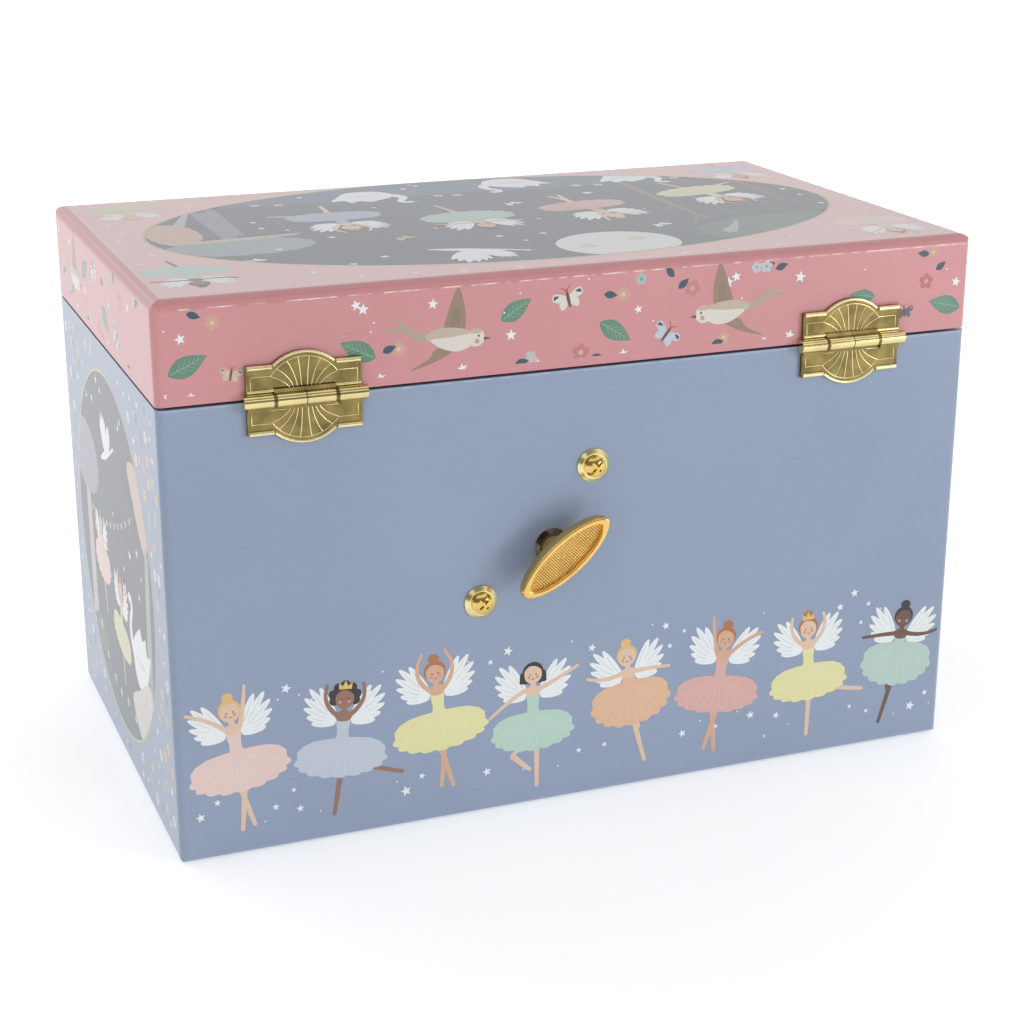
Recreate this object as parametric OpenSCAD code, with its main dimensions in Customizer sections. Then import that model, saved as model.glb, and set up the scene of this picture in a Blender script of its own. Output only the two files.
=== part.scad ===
// Musical jewellery box with a spinning dancer, a drawer and a wind-up movement.
// Frame: +Z up, drawer side towards -Y, hinges and key on the +Y side,
// origin at the centre of the base. All sizes in millimetres.

/* [Box] */
// Width of the box
body_w = 200; // [180:1:260]
// Depth of the box
body_d = 118; // [116:1:160]
// Height of the case, up to the seam under the lid
case_h = 108; // [104:1:135]
// Height of the lid above the seam gap
lid_h = 23; // [20:0.1:30]
// Gap between the case and the closed lid
seam_gap = 0.6; // [0.4:0.1:1]
// Thickness of the case boards
board_t = 5; // [3:0.5:6]
// Thickness of the lid boards
lid_board_t = 4; // [3:0.5:5]
// Thickness of the laminated printed paper
wrap_t = 0.3; // [0.2:0.05:0.5]
// Radius of the upright edges
corner_r = 1.8; // [1:0.1:4]
// Radius of the lid's top edges
lid_edge_r = 2.4; // [1.5:0.1:3.5]
// Radius of the case's bottom edges
foot_edge_r = 1.2; // [0.5:0.1:2]
// Thickness of the felt sheet under the base
base_sheet_t = 0.4; // [0.3:0.1:1]

/* [Drawer and tray] */
// Clear height of the drawer opening
drawer_open_h = 36; // [30:1:42]
// Gap around the drawer front
drawer_gap = 0.5; // [0.3:0.1:1]
// Thickness of the drawer's side, back and bottom boards
drawer_board_t = 3; // [2:0.5:4]
// Thickness of the shelf over the drawer
shelf_t = 3; // [2:0.5:5]
// Thickness of the flocked lining
lining_t = 0.6; // [0.4:0.1:1]
// Height of the tray walls above the shelf
tray_h = 40; // [30:1:44]
// Width of the middle bay between the two dividers
bay_w = 75; // [75:1:100]
// Thickness of a tray divider
divider_t = 2.5; // [1.5:0.5:4]

/* [Hinges] */
// Distance between the two hinge centres
hinge_span = 135; // [100:1:150]
// Length of a hinge's knuckles
hinge_l = 27.7; // [20:0.1:32]
// Radius of the round part of a hinge leaf
hinge_r = 10.4; // [8:0.1:12]
// Width of a hinge leaf's shoulders
hinge_leaf_w = 26; // [20:0.5:30]
// Thickness of a hinge leaf
leaf_t = 0.9; // [0.6:0.1:1]
// Outer radius of a knuckle
knuckle_r = 1.5; // [1.3:0.1:1.8]
// Radius of a hinge pin
pin_r = 0.6; // [0.5:0.05:0.8]

/* [Movement] */
// Centre of the winding arbor, across the box
arbor_x = 9; // [5:0.5:12]
// Radius of the winding arbor
arbor_r = 1.8; // [1.5:0.1:2]
// Length of the winding key's wing
key_l = 28; // [22:0.5:32]
// Width of the winding key's wing
key_w = 9.3; // [7:0.1:10]
// How far the key stands out of the back
key_out = 9.5; // [8.5:0.5:14]
// Module of the winding and dancer gears
gear_m = 0.8; // [0.65:0.05:0.85]
// Radius of the pinned cylinder
cylinder_r = 5.2; // [4.8:0.1:5.4]
// Number of teeth on the comb
comb_teeth = 18; // [12:1:18]

/* [Dancer] */
// Height of the dancer above the spring
dancer_h = 35; // [30:0.5:36]
// Radius of the tutu
tutu_r = 13; // [9:0.5:15]
// Radius of the dancer's spindle
spindle_r = 1.2; // [1:0.1:1.5]

/* [Hidden] */
$fn = 64;
run_fit = 0.05;      // radial clearance of anything that turns in a bore
touch = 0.01;        // overlap of cutting tools past a face

// box planes
in_x = body_w / 2 - wrap_t - board_t;
in_y = body_d / 2 - wrap_t - board_t;
panel_x = body_w / 2 - wrap_t;
panel_y = body_d / 2 - wrap_t;
panel_z0 = base_sheet_t + wrap_t;
panel_z1 = case_h - wrap_t;
floor_z = panel_z0 + board_t;
shelf_z0 = floor_z + drawer_open_h;
shelf_z1 = shelf_z0 + shelf_t;
tray_top = shelf_z1 + tray_h;
lid_z0 = case_h + seam_gap;
lid_z1 = lid_z0 + lid_h;
lid_in_x = body_w / 2 - wrap_t - lid_board_t;
lid_in_y = body_d / 2 - wrap_t - lid_board_t;
lid_ceiling = lid_z1 - wrap_t - lid_board_t;
lid_lining_t = 1.5;
lid_lining_z = lid_ceiling - lid_lining_t;
// drawer planes
stile_w = board_t + 2;
opening_x = panel_x - stile_w;
drawer_x = opening_x - drawer_gap;
drawer_z0 = floor_z + drawer_gap;
drawer_z1 = shelf_z0 - drawer_gap;
drawer_side_z1 = drawer_z1 - 3;
drawer_face_t = board_t + wrap_t;
drawer_back_y = in_y - 4;
drawer_bottom_z = drawer_z0 + 1;
knob_z = (drawer_z0 + drawer_z1) / 2;
knob_r = 6;
knob_out = 12;
knob_screw_r = 1.5;
// hinge axis
pin_y = body_d / 2 + knuckle_r + 0.1;
pin_z = case_h + seam_gap / 2;
leaf_shoulder = 7.8; // height of a leaf's straight part, from the pin
knuckle_l = (hinge_l - 0.3) / 4;
// movement, placed from the winding arbor and the seam
bed_t = 2;
bed_y = in_y - bed_t;
arbor_z = shelf_z1 + 21.3;
bed_x0 = arbor_x - 26;
bed_x1 = arbor_x + 24;
bed_z0 = arbor_z - 18;
bed_z1 = arbor_z + 25;
screw_spots = [[arbor_x - 10.2, arbor_z + 18.6], [arbor_x + 17.8, arbor_z - 11.5]];
screw_r = 1.5;
washer_r = 4;
washer_t = 1.1;
screw_head_r = 2.6;
screw_dome_r = 4;
comb_screw_r = 1.05;
barrel_r = 13;
barrel_wall = 1;
barrel_y = bed_y - 9.2;
crown_n = 22;
pinion_n = 18;
drive_n = 20;
dancer_n = 30;
gear_t = 3;
crown_r = crown_n * gear_m / 2;
pinion_r = pinion_n * gear_m / 2;
crown_add = gear_m;
crown_y = bed_y - 13.5;
cyl_x = arbor_x;
cyl_y = crown_y - pinion_r;
pinion_z = arbor_z - crown_r;
drive_z = shelf_z1 + 4.8;
cyl_z0 = pinion_z + gear_t / 2 + 0.8;
cyl_len = 20;
top_gear_z = cyl_z0 + cyl_len + 0.5;
axle_r = 1;
gov_m = 0.5;
top_n = 24;
gov_pinion_n = 8;
gov_x = cyl_x - gov_m * (top_n + gov_pinion_n) / 2;
gov_axle_r = 0.8;
worm_m = 0.6;
worm_n = 18;
worm_wheel_r = worm_m * worm_n / 2;
worm_r = 1;
worm_offset = 0.4;
worm_lead = PI * worm_m;
worm_gap = 0.15;
worm_y = cyl_y + worm_wheel_r + worm_r + worm_gap;
worm_z = top_gear_z + 5.8;
fly_r = 5;
fly_x = gov_x - 12;
fly_shaft_r = 0.5;
// housing over the movement, and the stage in front of it
house_wall = 2;
house_x = bay_w / 2;
house_y0 = cyl_y - drive_n * gear_m / 2 - gear_m - house_wall - 0.2;
house_z1 = worm_z + 11.9;
stage_y0 = house_y0 - 28;
stage_z1 = house_z1 - 23;
spindle_x = 0;
spindle_reach = gear_m * (drive_n + dancer_n) / 2;
spindle_y = cyl_y - sqrt(pow(spindle_reach, 2) - pow(cyl_x - spindle_x, 2));
disc_gap = 0.46;
disc_r = house_y0 - spindle_y - disc_gap;
disc_t = 1.2;
disc_z = stage_z1 + 1.5;
spring_wire = 0.35;
spring_coils = 9;
figure_z = disc_z + disc_t + spring_coils * spring_wire * 1.96;
tutu_z = figure_z + 0.42 * dancer_h;
head_r = 0.09 * dancer_h;
// stop rod
rod_r = 1.2;
rod_foot_z = worm_z + fly_r + 0.6;
rod_top_z = lid_lining_z - 0.2;
// mirror
mirror_w = 120;
mirror_d = 66;
mirror_t = 2;
frame_w = 5;
mirror_y = -4;

// a flat rectangle with round corners, centred
module round_rect(w, d, r) {
    union() {
        square([w - 2 * r, d], center = true);
        square([w, d - 2 * r], center = true);
        for (sx = [-1, 1], sy = [-1, 1])
            translate([sx * (w / 2 - r), sy * (d / 2 - r)]) circle(r);
    }
}

// a cylinder whose axis runs along +Y from y0 to y1
module rod_y(x, z, r, y0, y1) {
    translate([x, y1, z]) rotate([90, 0, 0]) cylinder(h = y1 - y0, r = r);
}

// a cylinder whose axis runs along +X from x0 to x1
module rod_x(y, z, r, x0, x1) {
    translate([x0, y, z]) rotate([0, 90, 0]) cylinder(h = x1 - x0, r = r);
}

// a cube from its lowest corner to its highest one
module block(lo, hi) {
    translate(lo) cube([hi[0] - lo[0], hi[1] - lo[1], hi[2] - lo[2]]);
}

// a side profile whose top or bottom edges are round, width w, from z0 to z1
module edge_profile(w, z0, z1, r_low, r_high) {
    h = z1 - z0;
    union() {
        translate([-w / 2, z0 + r_low]) square([w, h - r_low - r_high]);
        translate([-w / 2 + r_low, z0]) square([w - 2 * r_low, h / 2]);
        translate([-w / 2 + r_high, z0 + h / 2]) square([w - 2 * r_high, h / 2]);
        for (s = [-1, 1]) {
            translate([s * (w / 2 - r_low), z0 + r_low]) circle(r_low);
            translate([s * (w / 2 - r_high), z1 - r_high]) circle(r_high);
        }
    }
}

// a box with round upright edges and round bottom or top edges
module soft_block(w, d, z0, z1, r_up, r_low, r_high) {
    intersection() {
        translate([0, 0, z0]) linear_extrude(z1 - z0) round_rect(w, d, r_up);
        rotate([90, 0, 0]) linear_extrude(2 * d, center = true)
            edge_profile(w, z0, z1, r_low, r_high);
        rotate([90, 0, 90]) linear_extrude(2 * w, center = true)
            edge_profile(d, z0, z1, r_low, r_high);
    }
}

square_edge = 0.05;

module case_solid(inset) {
    soft_block(body_w - 2 * inset, body_d - 2 * inset, base_sheet_t + inset, case_h - inset,
        corner_r - inset, foot_edge_r - inset, square_edge);
}

module lid_solid(inset) {
    soft_block(body_w - 2 * inset, body_d - 2 * inset, lid_z0, lid_z1 - inset,
        corner_r - inset, square_edge, lid_edge_r - inset);
}

// a spur gear with straight-sided teeth, centred, from z = 0
module spur(n, m, t, bore, tooth_share = 0.76) {
    half = 90 / n * tooth_share;
    tip = m * (n / 2 + 0.8);
    root = m * (n / 2 - 1.15);
    linear_extrude(t) difference() {
        union() {
            circle(root + 0.02);
            for (i = [0:n - 1]) rotate(i * 360 / n)
                polygon([
                    [root * cos(1.45 * half), -root * sin(1.45 * half)],
                    [tip * cos(0.5 * half), -tip * sin(0.5 * half)],
                    [tip * cos(0.5 * half), tip * sin(0.5 * half)],
                    [root * cos(1.45 * half), root * sin(1.45 * half)]]);
        }
        circle(bore);
    }
}

// ---------------------------------------------------------------- case
module base_sheet() {
    color("#3d3f45") linear_extrude(base_sheet_t)
        round_rect(body_w - 6, body_d - 6, corner_r);
}

module case_base_panel() {
    color("#b79a76") intersection() {
        case_solid(wrap_t);
        block([-in_x, -in_y, panel_z0], [in_x, in_y, floor_z]);
    }
}

module case_back_panel() {
    color("#b79a76") difference() {
        intersection() {
            case_solid(wrap_t);
            block([-panel_x, in_y, panel_z0], [panel_x, panel_y, panel_z1]);
        }
        rod_y(arbor_x, arbor_z, key_hole_r, in_y - 1, panel_y + 1);
        for (s = screw_spots) rod_y(s[0], s[1], screw_r + run_fit, in_y - 1, panel_y + 1);
    }
}
key_hole_r = 4.3;

module drawer_opening(gap) {
    block([-opening_x + gap, -body_d / 2 - 1, floor_z + gap],
        [opening_x - gap, -in_y + touch, shelf_z0 - gap]);
}

module case_front_panel() {
    color("#b79a76") difference() {
        intersection() {
            case_solid(wrap_t);
            block([-panel_x, -panel_y, panel_z0], [panel_x, -in_y, panel_z1]);
        }
        drawer_opening(0);
    }
}

module case_side_panel(side) {
    color("#b79a76") intersection() {
        case_solid(wrap_t);
        block([side > 0 ? in_x : -panel_x, -in_y, panel_z0],
            [side > 0 ? panel_x : -in_x, in_y, panel_z1]);
    }
}

module drawer_shelf() {
    color("#c9b28e") block([-in_x, -in_y, shelf_z0], [in_x, in_y, shelf_z1]);
}

// laminated paper round the outside, turned over the rim and down inside
module case_wrap() {
    color("#93a3c1") difference() {
        case_solid(0);
        difference() {
            case_solid(wrap_t);
            block([-in_x, -in_y, tray_top], [in_x, in_y, case_h]);
        }
        block([-in_x + wrap_t, -in_y + wrap_t, floor_z], [in_x - wrap_t, in_y - wrap_t, case_h + 1]);
        block([-house_x, 0, tray_top - 1], [house_x, in_y, house_z1]);
        drawer_opening(0);
        rod_y(arbor_x, arbor_z, key_hole_r, in_y - 1, body_d / 2 + 1);
        for (s = screw_spots) rod_y(s[0], s[1], screw_r + run_fit, in_y - 1, body_d / 2 + 1);
    }
}

divider_x = bay_w / 2;

module tray_dividers() {
    color("#d9a3a8") for (s = [-1, 1])
        translate([s * (divider_x + divider_t / 2), 0, (shelf_z1 + tray_top) / 2])
            cube([divider_t, 2 * in_y, tray_h], center = true);
}

// one flocked liner, open at the top
module liner(x0, x1, y0, y1) {
    difference() {
        block([x0, y0, shelf_z1], [x1, y1, tray_top]);
        block([x0 + lining_t, y0 + lining_t, shelf_z1 + lining_t],
            [x1 - lining_t, y1 - lining_t, tray_top + 1]);
    }
}

module tray_lining() {
    color("#d98fa0") {
        liner(-in_x, -divider_x - divider_t, -in_y, in_y);
        liner(divider_x + divider_t, in_x, -in_y, in_y);
        difference() {
            liner(-divider_x, divider_x, -in_y, stage_y0);
            block([-divider_x - 1, stage_y0 - lining_t, stage_z1], [divider_x + 1, stage_y0 + 1, tray_top + 1]);
        }
    }
}

// rolls that hold rings, in the left compartment
cushion_gap = 0.4;
cushion_x0 = -in_x + lining_t + cushion_gap;
cushion_x1 = -divider_x - divider_t - lining_t - cushion_gap;
cushion_y0 = -in_y + lining_t + cushion_gap;
cushion_rolls = 5;
roll_w = 10;
cushion_z0 = shelf_z1 + lining_t;
cushion_z1 = cushion_z0 + 16;

module ring_cushion() {
    color("#e7b7bf") for (i = [0:cushion_rolls - 1])
        translate([0, cushion_y0 + roll_w * (i + 0.5), 0]) {
            block([cushion_x0, -roll_w / 2, cushion_z0],
                [cushion_x1, roll_w / 2, cushion_z1 - roll_w / 2]);
            rod_x(0, cushion_z1 - roll_w / 2, roll_w / 2, cushion_x0, cushion_x1);
        }
}

module movement_housing() {
    color("#d98fa0") difference() {
        block([-house_x, house_y0, shelf_z1], [house_x, in_y, house_z1]);
        block([-house_x + house_wall, house_y0 + house_wall, shelf_z1 - 1],
            [house_x - house_wall, in_y + 1, house_z1 - house_wall]);
        block([-dancer_n * gear_m / 2 - 2, house_y0 - 1, shelf_z1 - 1],
            [dancer_n * gear_m / 2 + 2, house_y0 + house_wall + 1, drive_z + gear_t + 4]);
        translate([fly_x, worm_y, house_z1 - house_wall - 1])
            cylinder(h = house_wall + 2, r = rod_r + run_fit);
    }
}

bush_r = spindle_r + 1.4;

module stage_box() {
    color("#e3a3b0") difference() {
        block([-house_x, stage_y0, shelf_z1], [house_x, house_y0, stage_z1]);
        block([-house_x + house_wall, stage_y0 + house_wall, shelf_z1 - 1],
            [house_x - house_wall, house_y0 + 1, stage_z1 - house_wall]);
        translate([spindle_x, spindle_y, stage_z1 - house_wall - 1])
            cylinder(h = house_wall + 2, r = bush_r);
    }
}

module spindle_bush() {
    color("#cfae5e") translate([spindle_x, spindle_y, 0]) difference() {
        union() {
            translate([0, 0, stage_z1 - house_wall - 2]) cylinder(h = house_wall + 2, r = bush_r);
            translate([0, 0, stage_z1]) cylinder(h = 0.8, r = bush_r + 1.2);
        }
        translate([0, 0, stage_z1 - house_wall - 3])
            cylinder(h = house_wall + 6, r = spindle_r + run_fit);
    }
}

// ---------------------------------------------------------------- hinges
// knuckle number i of four, centred on the hinge
module knuckle(i, bore) {
    x0 = -hinge_l / 2 + i * (knuckle_l + 0.1);
    difference() {
        union() {
            rod_x(pin_y, pin_z, knuckle_r, x0, x0 + knuckle_l);
            children();
        }
        rod_x(pin_y, pin_z, bore, x0 - 1, x0 + knuckle_l + 1);
    }
}

module leaf_plate(z0, z1, up) {
    intersection() {
        rotate([90, 0, 0]) translate([0, 0, -body_d / 2 - leaf_t]) linear_extrude(leaf_t) union() {
            translate([0, pin_z]) circle(hinge_r);
            translate([-hinge_leaf_w / 2, up ? pin_z : pin_z - leaf_shoulder])
                square([hinge_leaf_w, leaf_shoulder]);
        }
        block([-hinge_l, body_d / 2, z0], [hinge_l, body_d / 2 + leaf_t, z1]);
    }
}

web_gap = 0.25;

module case_leaf(x) {
    color("#d9a95b") translate([x, 0, 0]) union() {
        leaf_plate(pin_z - hinge_r - 1, pin_z - knuckle_r - web_gap, false);
        for (i = [0, 3]) knuckle(i, pin_r)
            block([-hinge_l / 2 + i * (knuckle_l + 0.1) + 0.9, body_d / 2, pin_z - knuckle_r - 1],
                [-hinge_l / 2 + i * (knuckle_l + 0.1) + knuckle_l - 0.9, pin_y, pin_z - 0.5]);
    }
}

module lid_leaf(x) {
    color("#d9a95b") translate([x, 0, 0]) union() {
        leaf_plate(pin_z + knuckle_r + web_gap, pin_z + hinge_r + 1, true);
        for (i = [1, 2]) knuckle(i, pin_r + run_fit)
            block([-hinge_l / 2 + i * (knuckle_l + 0.1), body_d / 2, pin_z + 0.5],
                [-hinge_l / 2 + i * (knuckle_l + 0.1) + knuckle_l, pin_y, pin_z + knuckle_r + 1]);
    }
}

module hinge_pin(x) {
    color("#c9c2b0") rod_x(pin_y, pin_z, pin_r, x - hinge_l / 2, x + hinge_l / 2);
}

// ---------------------------------------------------------------- movement, fixed pieces
module movement_bedplate() {
    color("#c8c8c4") difference() {
        translate([(bed_x0 + bed_x1) / 2, bed_y + bed_t, (bed_z0 + bed_z1) / 2])
            rotate([90, 0, 0]) linear_extrude(bed_t)
                round_rect(bed_x1 - bed_x0, bed_z1 - bed_z0, 3);
        rod_y(arbor_x, arbor_z, arbor_r + run_fit, bed_y - 1, in_y + 1);
        for (s = screw_spots) rod_y(s[0], s[1], screw_r, bed_y - 1, in_y + 1);
    }
}

module spring_housing() {
    color("#c4c6c8") difference() {
        rod_y(arbor_x, arbor_z, barrel_r, barrel_y, bed_y);
        rod_y(arbor_x, arbor_z, barrel_r - barrel_wall, barrel_y + barrel_wall, bed_y + 1);
        rod_y(arbor_x, arbor_z, arbor_r + run_fit, barrel_y - 1, bed_y);
    }
}

// flat spiral strip
strip_t = 0.35;
strip_turns = 5;
strip_steps = 90;
strip_r0 = arbor_r + 1.2;
strip_r1 = barrel_r - barrel_wall - 0.6;
function strip_r(i) = strip_r0 + (strip_r1 - strip_r0) * i / strip_steps;
function strip_pt(i, off) = (strip_r(i) + off) * [cos(360 * strip_turns * i / strip_steps),
    sin(360 * strip_turns * i / strip_steps)];

module mainspring() {
    color("#7d8890") translate([arbor_x, bed_y - 1, arbor_z]) rotate([90, 0, 0])
        linear_extrude(bed_y - barrel_y - barrel_wall - 2)
            polygon([for (i = [0:strip_steps]) strip_pt(i, 0),
                for (i = [strip_steps:-1:0]) strip_pt(i, strip_t)]);
}

comb_tip_x = cyl_x + cylinder_r + 0.7;
comb_root_x = cyl_x + 15;
comb_end_x = cyl_x + 22;
comb_t = 1;
comb_pitch = (cyl_len - 1) / comb_teeth;
comb_screw_z = [cyl_z0 + 3, cyl_z0 + cyl_len - 3];
comb_screw_x = (comb_root_x + comb_end_x) / 2 + 0.6;

module comb_base() {
    color("#bfc2c4") difference() {
        block([comb_root_x + 1.5, cyl_y + comb_t / 2, cyl_z0 - 1],
            [comb_end_x, bed_y, cyl_z0 + cyl_len + 1]);
        for (z = comb_screw_z)
            rod_y(comb_screw_x, z, comb_screw_r, cyl_y - 1, cyl_y + comb_t / 2 + 5);
    }
}

module music_comb() {
    color("#9aa3a8") difference() {
        union() {
            block([comb_root_x, cyl_y - comb_t / 2, cyl_z0],
                [comb_end_x, cyl_y + comb_t / 2, cyl_z0 + cyl_len]);
            for (i = [0:comb_teeth - 1])
                translate([comb_tip_x, cyl_y - 0.3, cyl_z0 + 0.5 + (i + 0.15) * comb_pitch])
                    cube([comb_root_x - comb_tip_x + 0.1, 0.6, comb_pitch * 0.7]);
        }
        for (z = comb_screw_z) rod_y(comb_screw_x, z, comb_screw_r, cyl_y - 2, cyl_y + 2);
    }
}

module comb_screws() {
    color("#d8d8d4") for (z = comb_screw_z) difference() {
        union() {
            rod_y(comb_screw_x, z, comb_screw_r, cyl_y - comb_t / 2, cyl_y + comb_t / 2 + 5);
            rod_y(comb_screw_x, z, 2.2, cyl_y - comb_t / 2 - 1.2, cyl_y - comb_t / 2);
        }
        block([comb_screw_x - 3, cyl_y - comb_t / 2 - 2, z - 0.3],
            [comb_screw_x + 3, cyl_y - comb_t / 2 - 0.7, z + 0.3]);
    }
}

bearing_arm_w = 5;
low_bearing_z = drive_z + gear_t / 2 + 0.4;
low_bearing_t = arbor_z - barrel_r - 0.2 - low_bearing_z;
top_bearing_z = top_gear_z + 2.2;

module cylinder_bearings() {
    color("#c8c8c4") for (a = [[low_bearing_z, low_bearing_t], [top_bearing_z, 1.5]])
        difference() {
            block([cyl_x - bearing_arm_w / 2, cyl_y - 3, a[0]],
                [cyl_x + bearing_arm_w / 2, bed_y, a[0] + a[1]]);
            translate([cyl_x, cyl_y, a[0] - 1]) cylinder(h = a[1] + 2, r = axle_r + run_fit);
        }
}

gov_arm_x0 = gov_x - 2.2;
gov_arm_x1 = gov_x + 2;
gov_low_z = top_gear_z - 2;
gov_low_t = 1.2;
gov_top_z = worm_z + 2.4;
gov_post_x = [gov_x - 7.5, gov_x + 4];
gov_post_t = 1.2;

module governor_bracket() {
    color("#c8c8c4") difference() {
        union() {
            block([gov_arm_x0, cyl_y - 2, gov_low_z], [gov_arm_x1, bed_y, gov_low_z + gov_low_t]);
            block([gov_arm_x0, cyl_y - 2, gov_top_z], [gov_arm_x1, bed_y, gov_top_z + 1.5]);
            for (x = gov_post_x)
                block([x, worm_y - 1.2, worm_z - 1.2], [x + gov_post_t, bed_y, worm_z + 1.2]);
            block([gov_post_x[0], bed_y - 1.5, gov_low_z + gov_low_t],
                [gov_post_x[1] + gov_post_t, bed_y, gov_top_z + 1.5]);
        }
        translate([gov_x, cyl_y, gov_low_z - 1])
            cylinder(h = gov_top_z - gov_low_z + 4, r = gov_axle_r + run_fit);
        rod_x(worm_y, worm_z, fly_shaft_r + run_fit, gov_post_x[0] - 1, gov_post_x[1] + 3);
    }
}

head_h = 1.6;

module movement_screws() {
    color("#e6c574") for (s = screw_spots) difference() {
        union() {
            rod_y(s[0], s[1], screw_r, bed_y, body_d / 2 + washer_t);
            intersection() {
                rod_y(s[0], s[1], screw_head_r, body_d / 2 + washer_t, body_d / 2 + washer_t + head_h);
                translate([s[0], body_d / 2 + washer_t + head_h - screw_dome_r, s[1]])
                    sphere(screw_dome_r);
            }
        }
        for (a = [45, 135]) translate([s[0], body_d / 2 + washer_t + head_h, s[1]])
            rotate([0, a, 0]) cube([3, 1.4, 0.6], center = true);
    }
}

module cup_washers() {
    color("#e0cf9c") for (s = screw_spots) translate([s[0], body_d / 2, s[1]])
        rotate([-90, 0, 0]) rotate_extrude()
            polygon([[screw_r + run_fit, 0], [washer_r, 0], [washer_r, 0.3],
                [washer_r - 0.9, washer_t], [screw_r + run_fit, washer_t]]);
}

// ---------------------------------------------------------------- lid
module lid_top_board() {
    color("#b79a76") intersection() {
        lid_solid(wrap_t);
        block([-body_w, -body_d, lid_ceiling], [body_w, body_d, lid_z1]);
    }
}

module lid_long_rail(side) {
    color("#b79a76") intersection() {
        lid_solid(wrap_t);
        block([-body_w, side > 0 ? lid_in_y : -body_d, lid_z0 + wrap_t],
            [body_w, side > 0 ? body_d : -lid_in_y, lid_ceiling]);
    }
}

module lid_short_rail(side) {
    color("#b79a76") intersection() {
        lid_solid(wrap_t);
        block([side > 0 ? lid_in_x : -body_w, -lid_in_y, lid_z0 + wrap_t],
            [side > 0 ? body_w : -lid_in_x, lid_in_y, lid_ceiling]);
    }
}

// paper over the lid, turned under the rim
module lid_wrap() {
    color("#d08c93") difference() {
        lid_solid(0);
        intersection() {
            lid_solid(wrap_t);
            block([-body_w, -body_d, lid_z0 + wrap_t], [body_w, body_d, lid_z1]);
        }
        block([-lid_in_x, -lid_in_y, lid_z0 - 1], [lid_in_x, lid_in_y, lid_ceiling]);
    }
}

module lid_lining() {
    color("#e0a5ad") block([-lid_in_x, -lid_in_y, lid_lining_z], [lid_in_x, lid_in_y, lid_ceiling]);
}

module mirror_frame() {
    color("#d9b25c") translate([0, mirror_y, lid_lining_z - mirror_t]) linear_extrude(mirror_t)
        difference() {
            round_rect(mirror_w + 2 * frame_w, mirror_d + 2 * frame_w, 6);
            round_rect(mirror_w, mirror_d, 3);
        }
}

module mirror_glass() {
    color("#d7dee4") translate([0, mirror_y, lid_lining_z - mirror_t + 0.4])
        linear_extrude(mirror_t - 0.4) round_rect(mirror_w, mirror_d, 3);
}

// ---------------------------------------------------------------- drawer
module drawer_front() {
    color("#93a3c1") difference() {
        block([-drawer_x, -body_d / 2, drawer_z0], [drawer_x, -body_d / 2 + drawer_face_t, drawer_z1]);
        rod_y(0, knob_z, knob_screw_r, -body_d, 0);
    }
}

module drawer_side(side) {
    x0 = side > 0 ? drawer_x - drawer_board_t : -drawer_x;
    color("#c9b28e") block([x0, -body_d / 2 + drawer_face_t, drawer_z0],
        [x0 + drawer_board_t, drawer_back_y, drawer_side_z1]);
}

module drawer_back() {
    color("#c9b28e") block([-drawer_x + drawer_board_t, drawer_back_y - drawer_board_t, drawer_z0],
        [drawer_x - drawer_board_t, drawer_back_y, drawer_side_z1]);
}

module drawer_bottom() {
    color("#d98fa0") block([-drawer_x + drawer_board_t, -body_d / 2 + drawer_face_t, drawer_bottom_z],
        [drawer_x - drawer_board_t, drawer_back_y - drawer_board_t, drawer_bottom_z + 2]);
}

module drawer_knob() {
    color("#d9a95b") translate([0, -body_d / 2, knob_z]) rotate([90, 0, 0]) rotate_extrude()
        difference() {
            union() {
                square([knob_r * 0.55, knob_out * 0.5]);
                square([knob_r * 0.7, 1.2]);
                intersection() {
                    translate([0, knob_out - knob_r * 0.95]) circle(knob_r);
                    translate([0, knob_out * 0.35]) square([knob_r, knob_out]);
                }
            }
            square([knob_screw_r, knob_out * 0.6]);
            translate([-knob_r, -knob_r]) square([knob_r, 4 * knob_out]);
        }
}

module knob_screw() {
    color("#c8c8c4") union() {
        rod_y(0, knob_z, knob_screw_r, -body_d / 2 - knob_out * 0.55,
            -body_d / 2 + drawer_face_t);
        rod_y(0, knob_z, 2.8, -body_d / 2 + drawer_face_t, -body_d / 2 + drawer_face_t + 1.8);
    }
}

// ---------------------------------------------------------------- winding key and great wheel
key_tilt = 35.6;
key_t = 3.2;
key_boss_r = 3.2;

// a pointed oval of length l and width w, made of two arcs
module pointed_oval(l, w) {
    arc_r = (pow(l / 2, 2) + pow(w / 2, 2)) / w;
    intersection() {
        translate([0, w / 2 - arc_r]) circle(arc_r, $fn = 128);
        translate([0, arc_r - w / 2]) circle(arc_r, $fn = 128);
        square([l - 1.6, w], center = true);
    }
}

module winding_key() {
    y1 = body_d / 2 + key_out;
    color("#d98f3e") difference() {
        union() {
            translate([arbor_x, y1, arbor_z]) rotate([90, 0, 0]) rotate(-key_tilt) union() {
                linear_extrude(key_t) difference() {
                    pointed_oval(key_l, key_w);
                    pointed_oval(key_l - 5, key_w - 2.6);
                }
                translate([0, 0, 0.6]) linear_extrude(key_t - 1.2)
                    pointed_oval(key_l - 1, key_w - 1);
            }
            rod_y(arbor_x, arbor_z, key_boss_r, body_d / 2 + 0.8, y1 - key_t + 0.7);
        }
        rod_y(arbor_x, arbor_z, arbor_r, body_d / 2, y1 - key_t);
    }
}

module winding_arbor() {
    color("#a9adb0") rod_y(arbor_x, arbor_z, arbor_r, crown_y + crown_add * 1.3,
        body_d / 2 + key_out - key_t);
}

crown_disc_t = 1.8;

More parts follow.
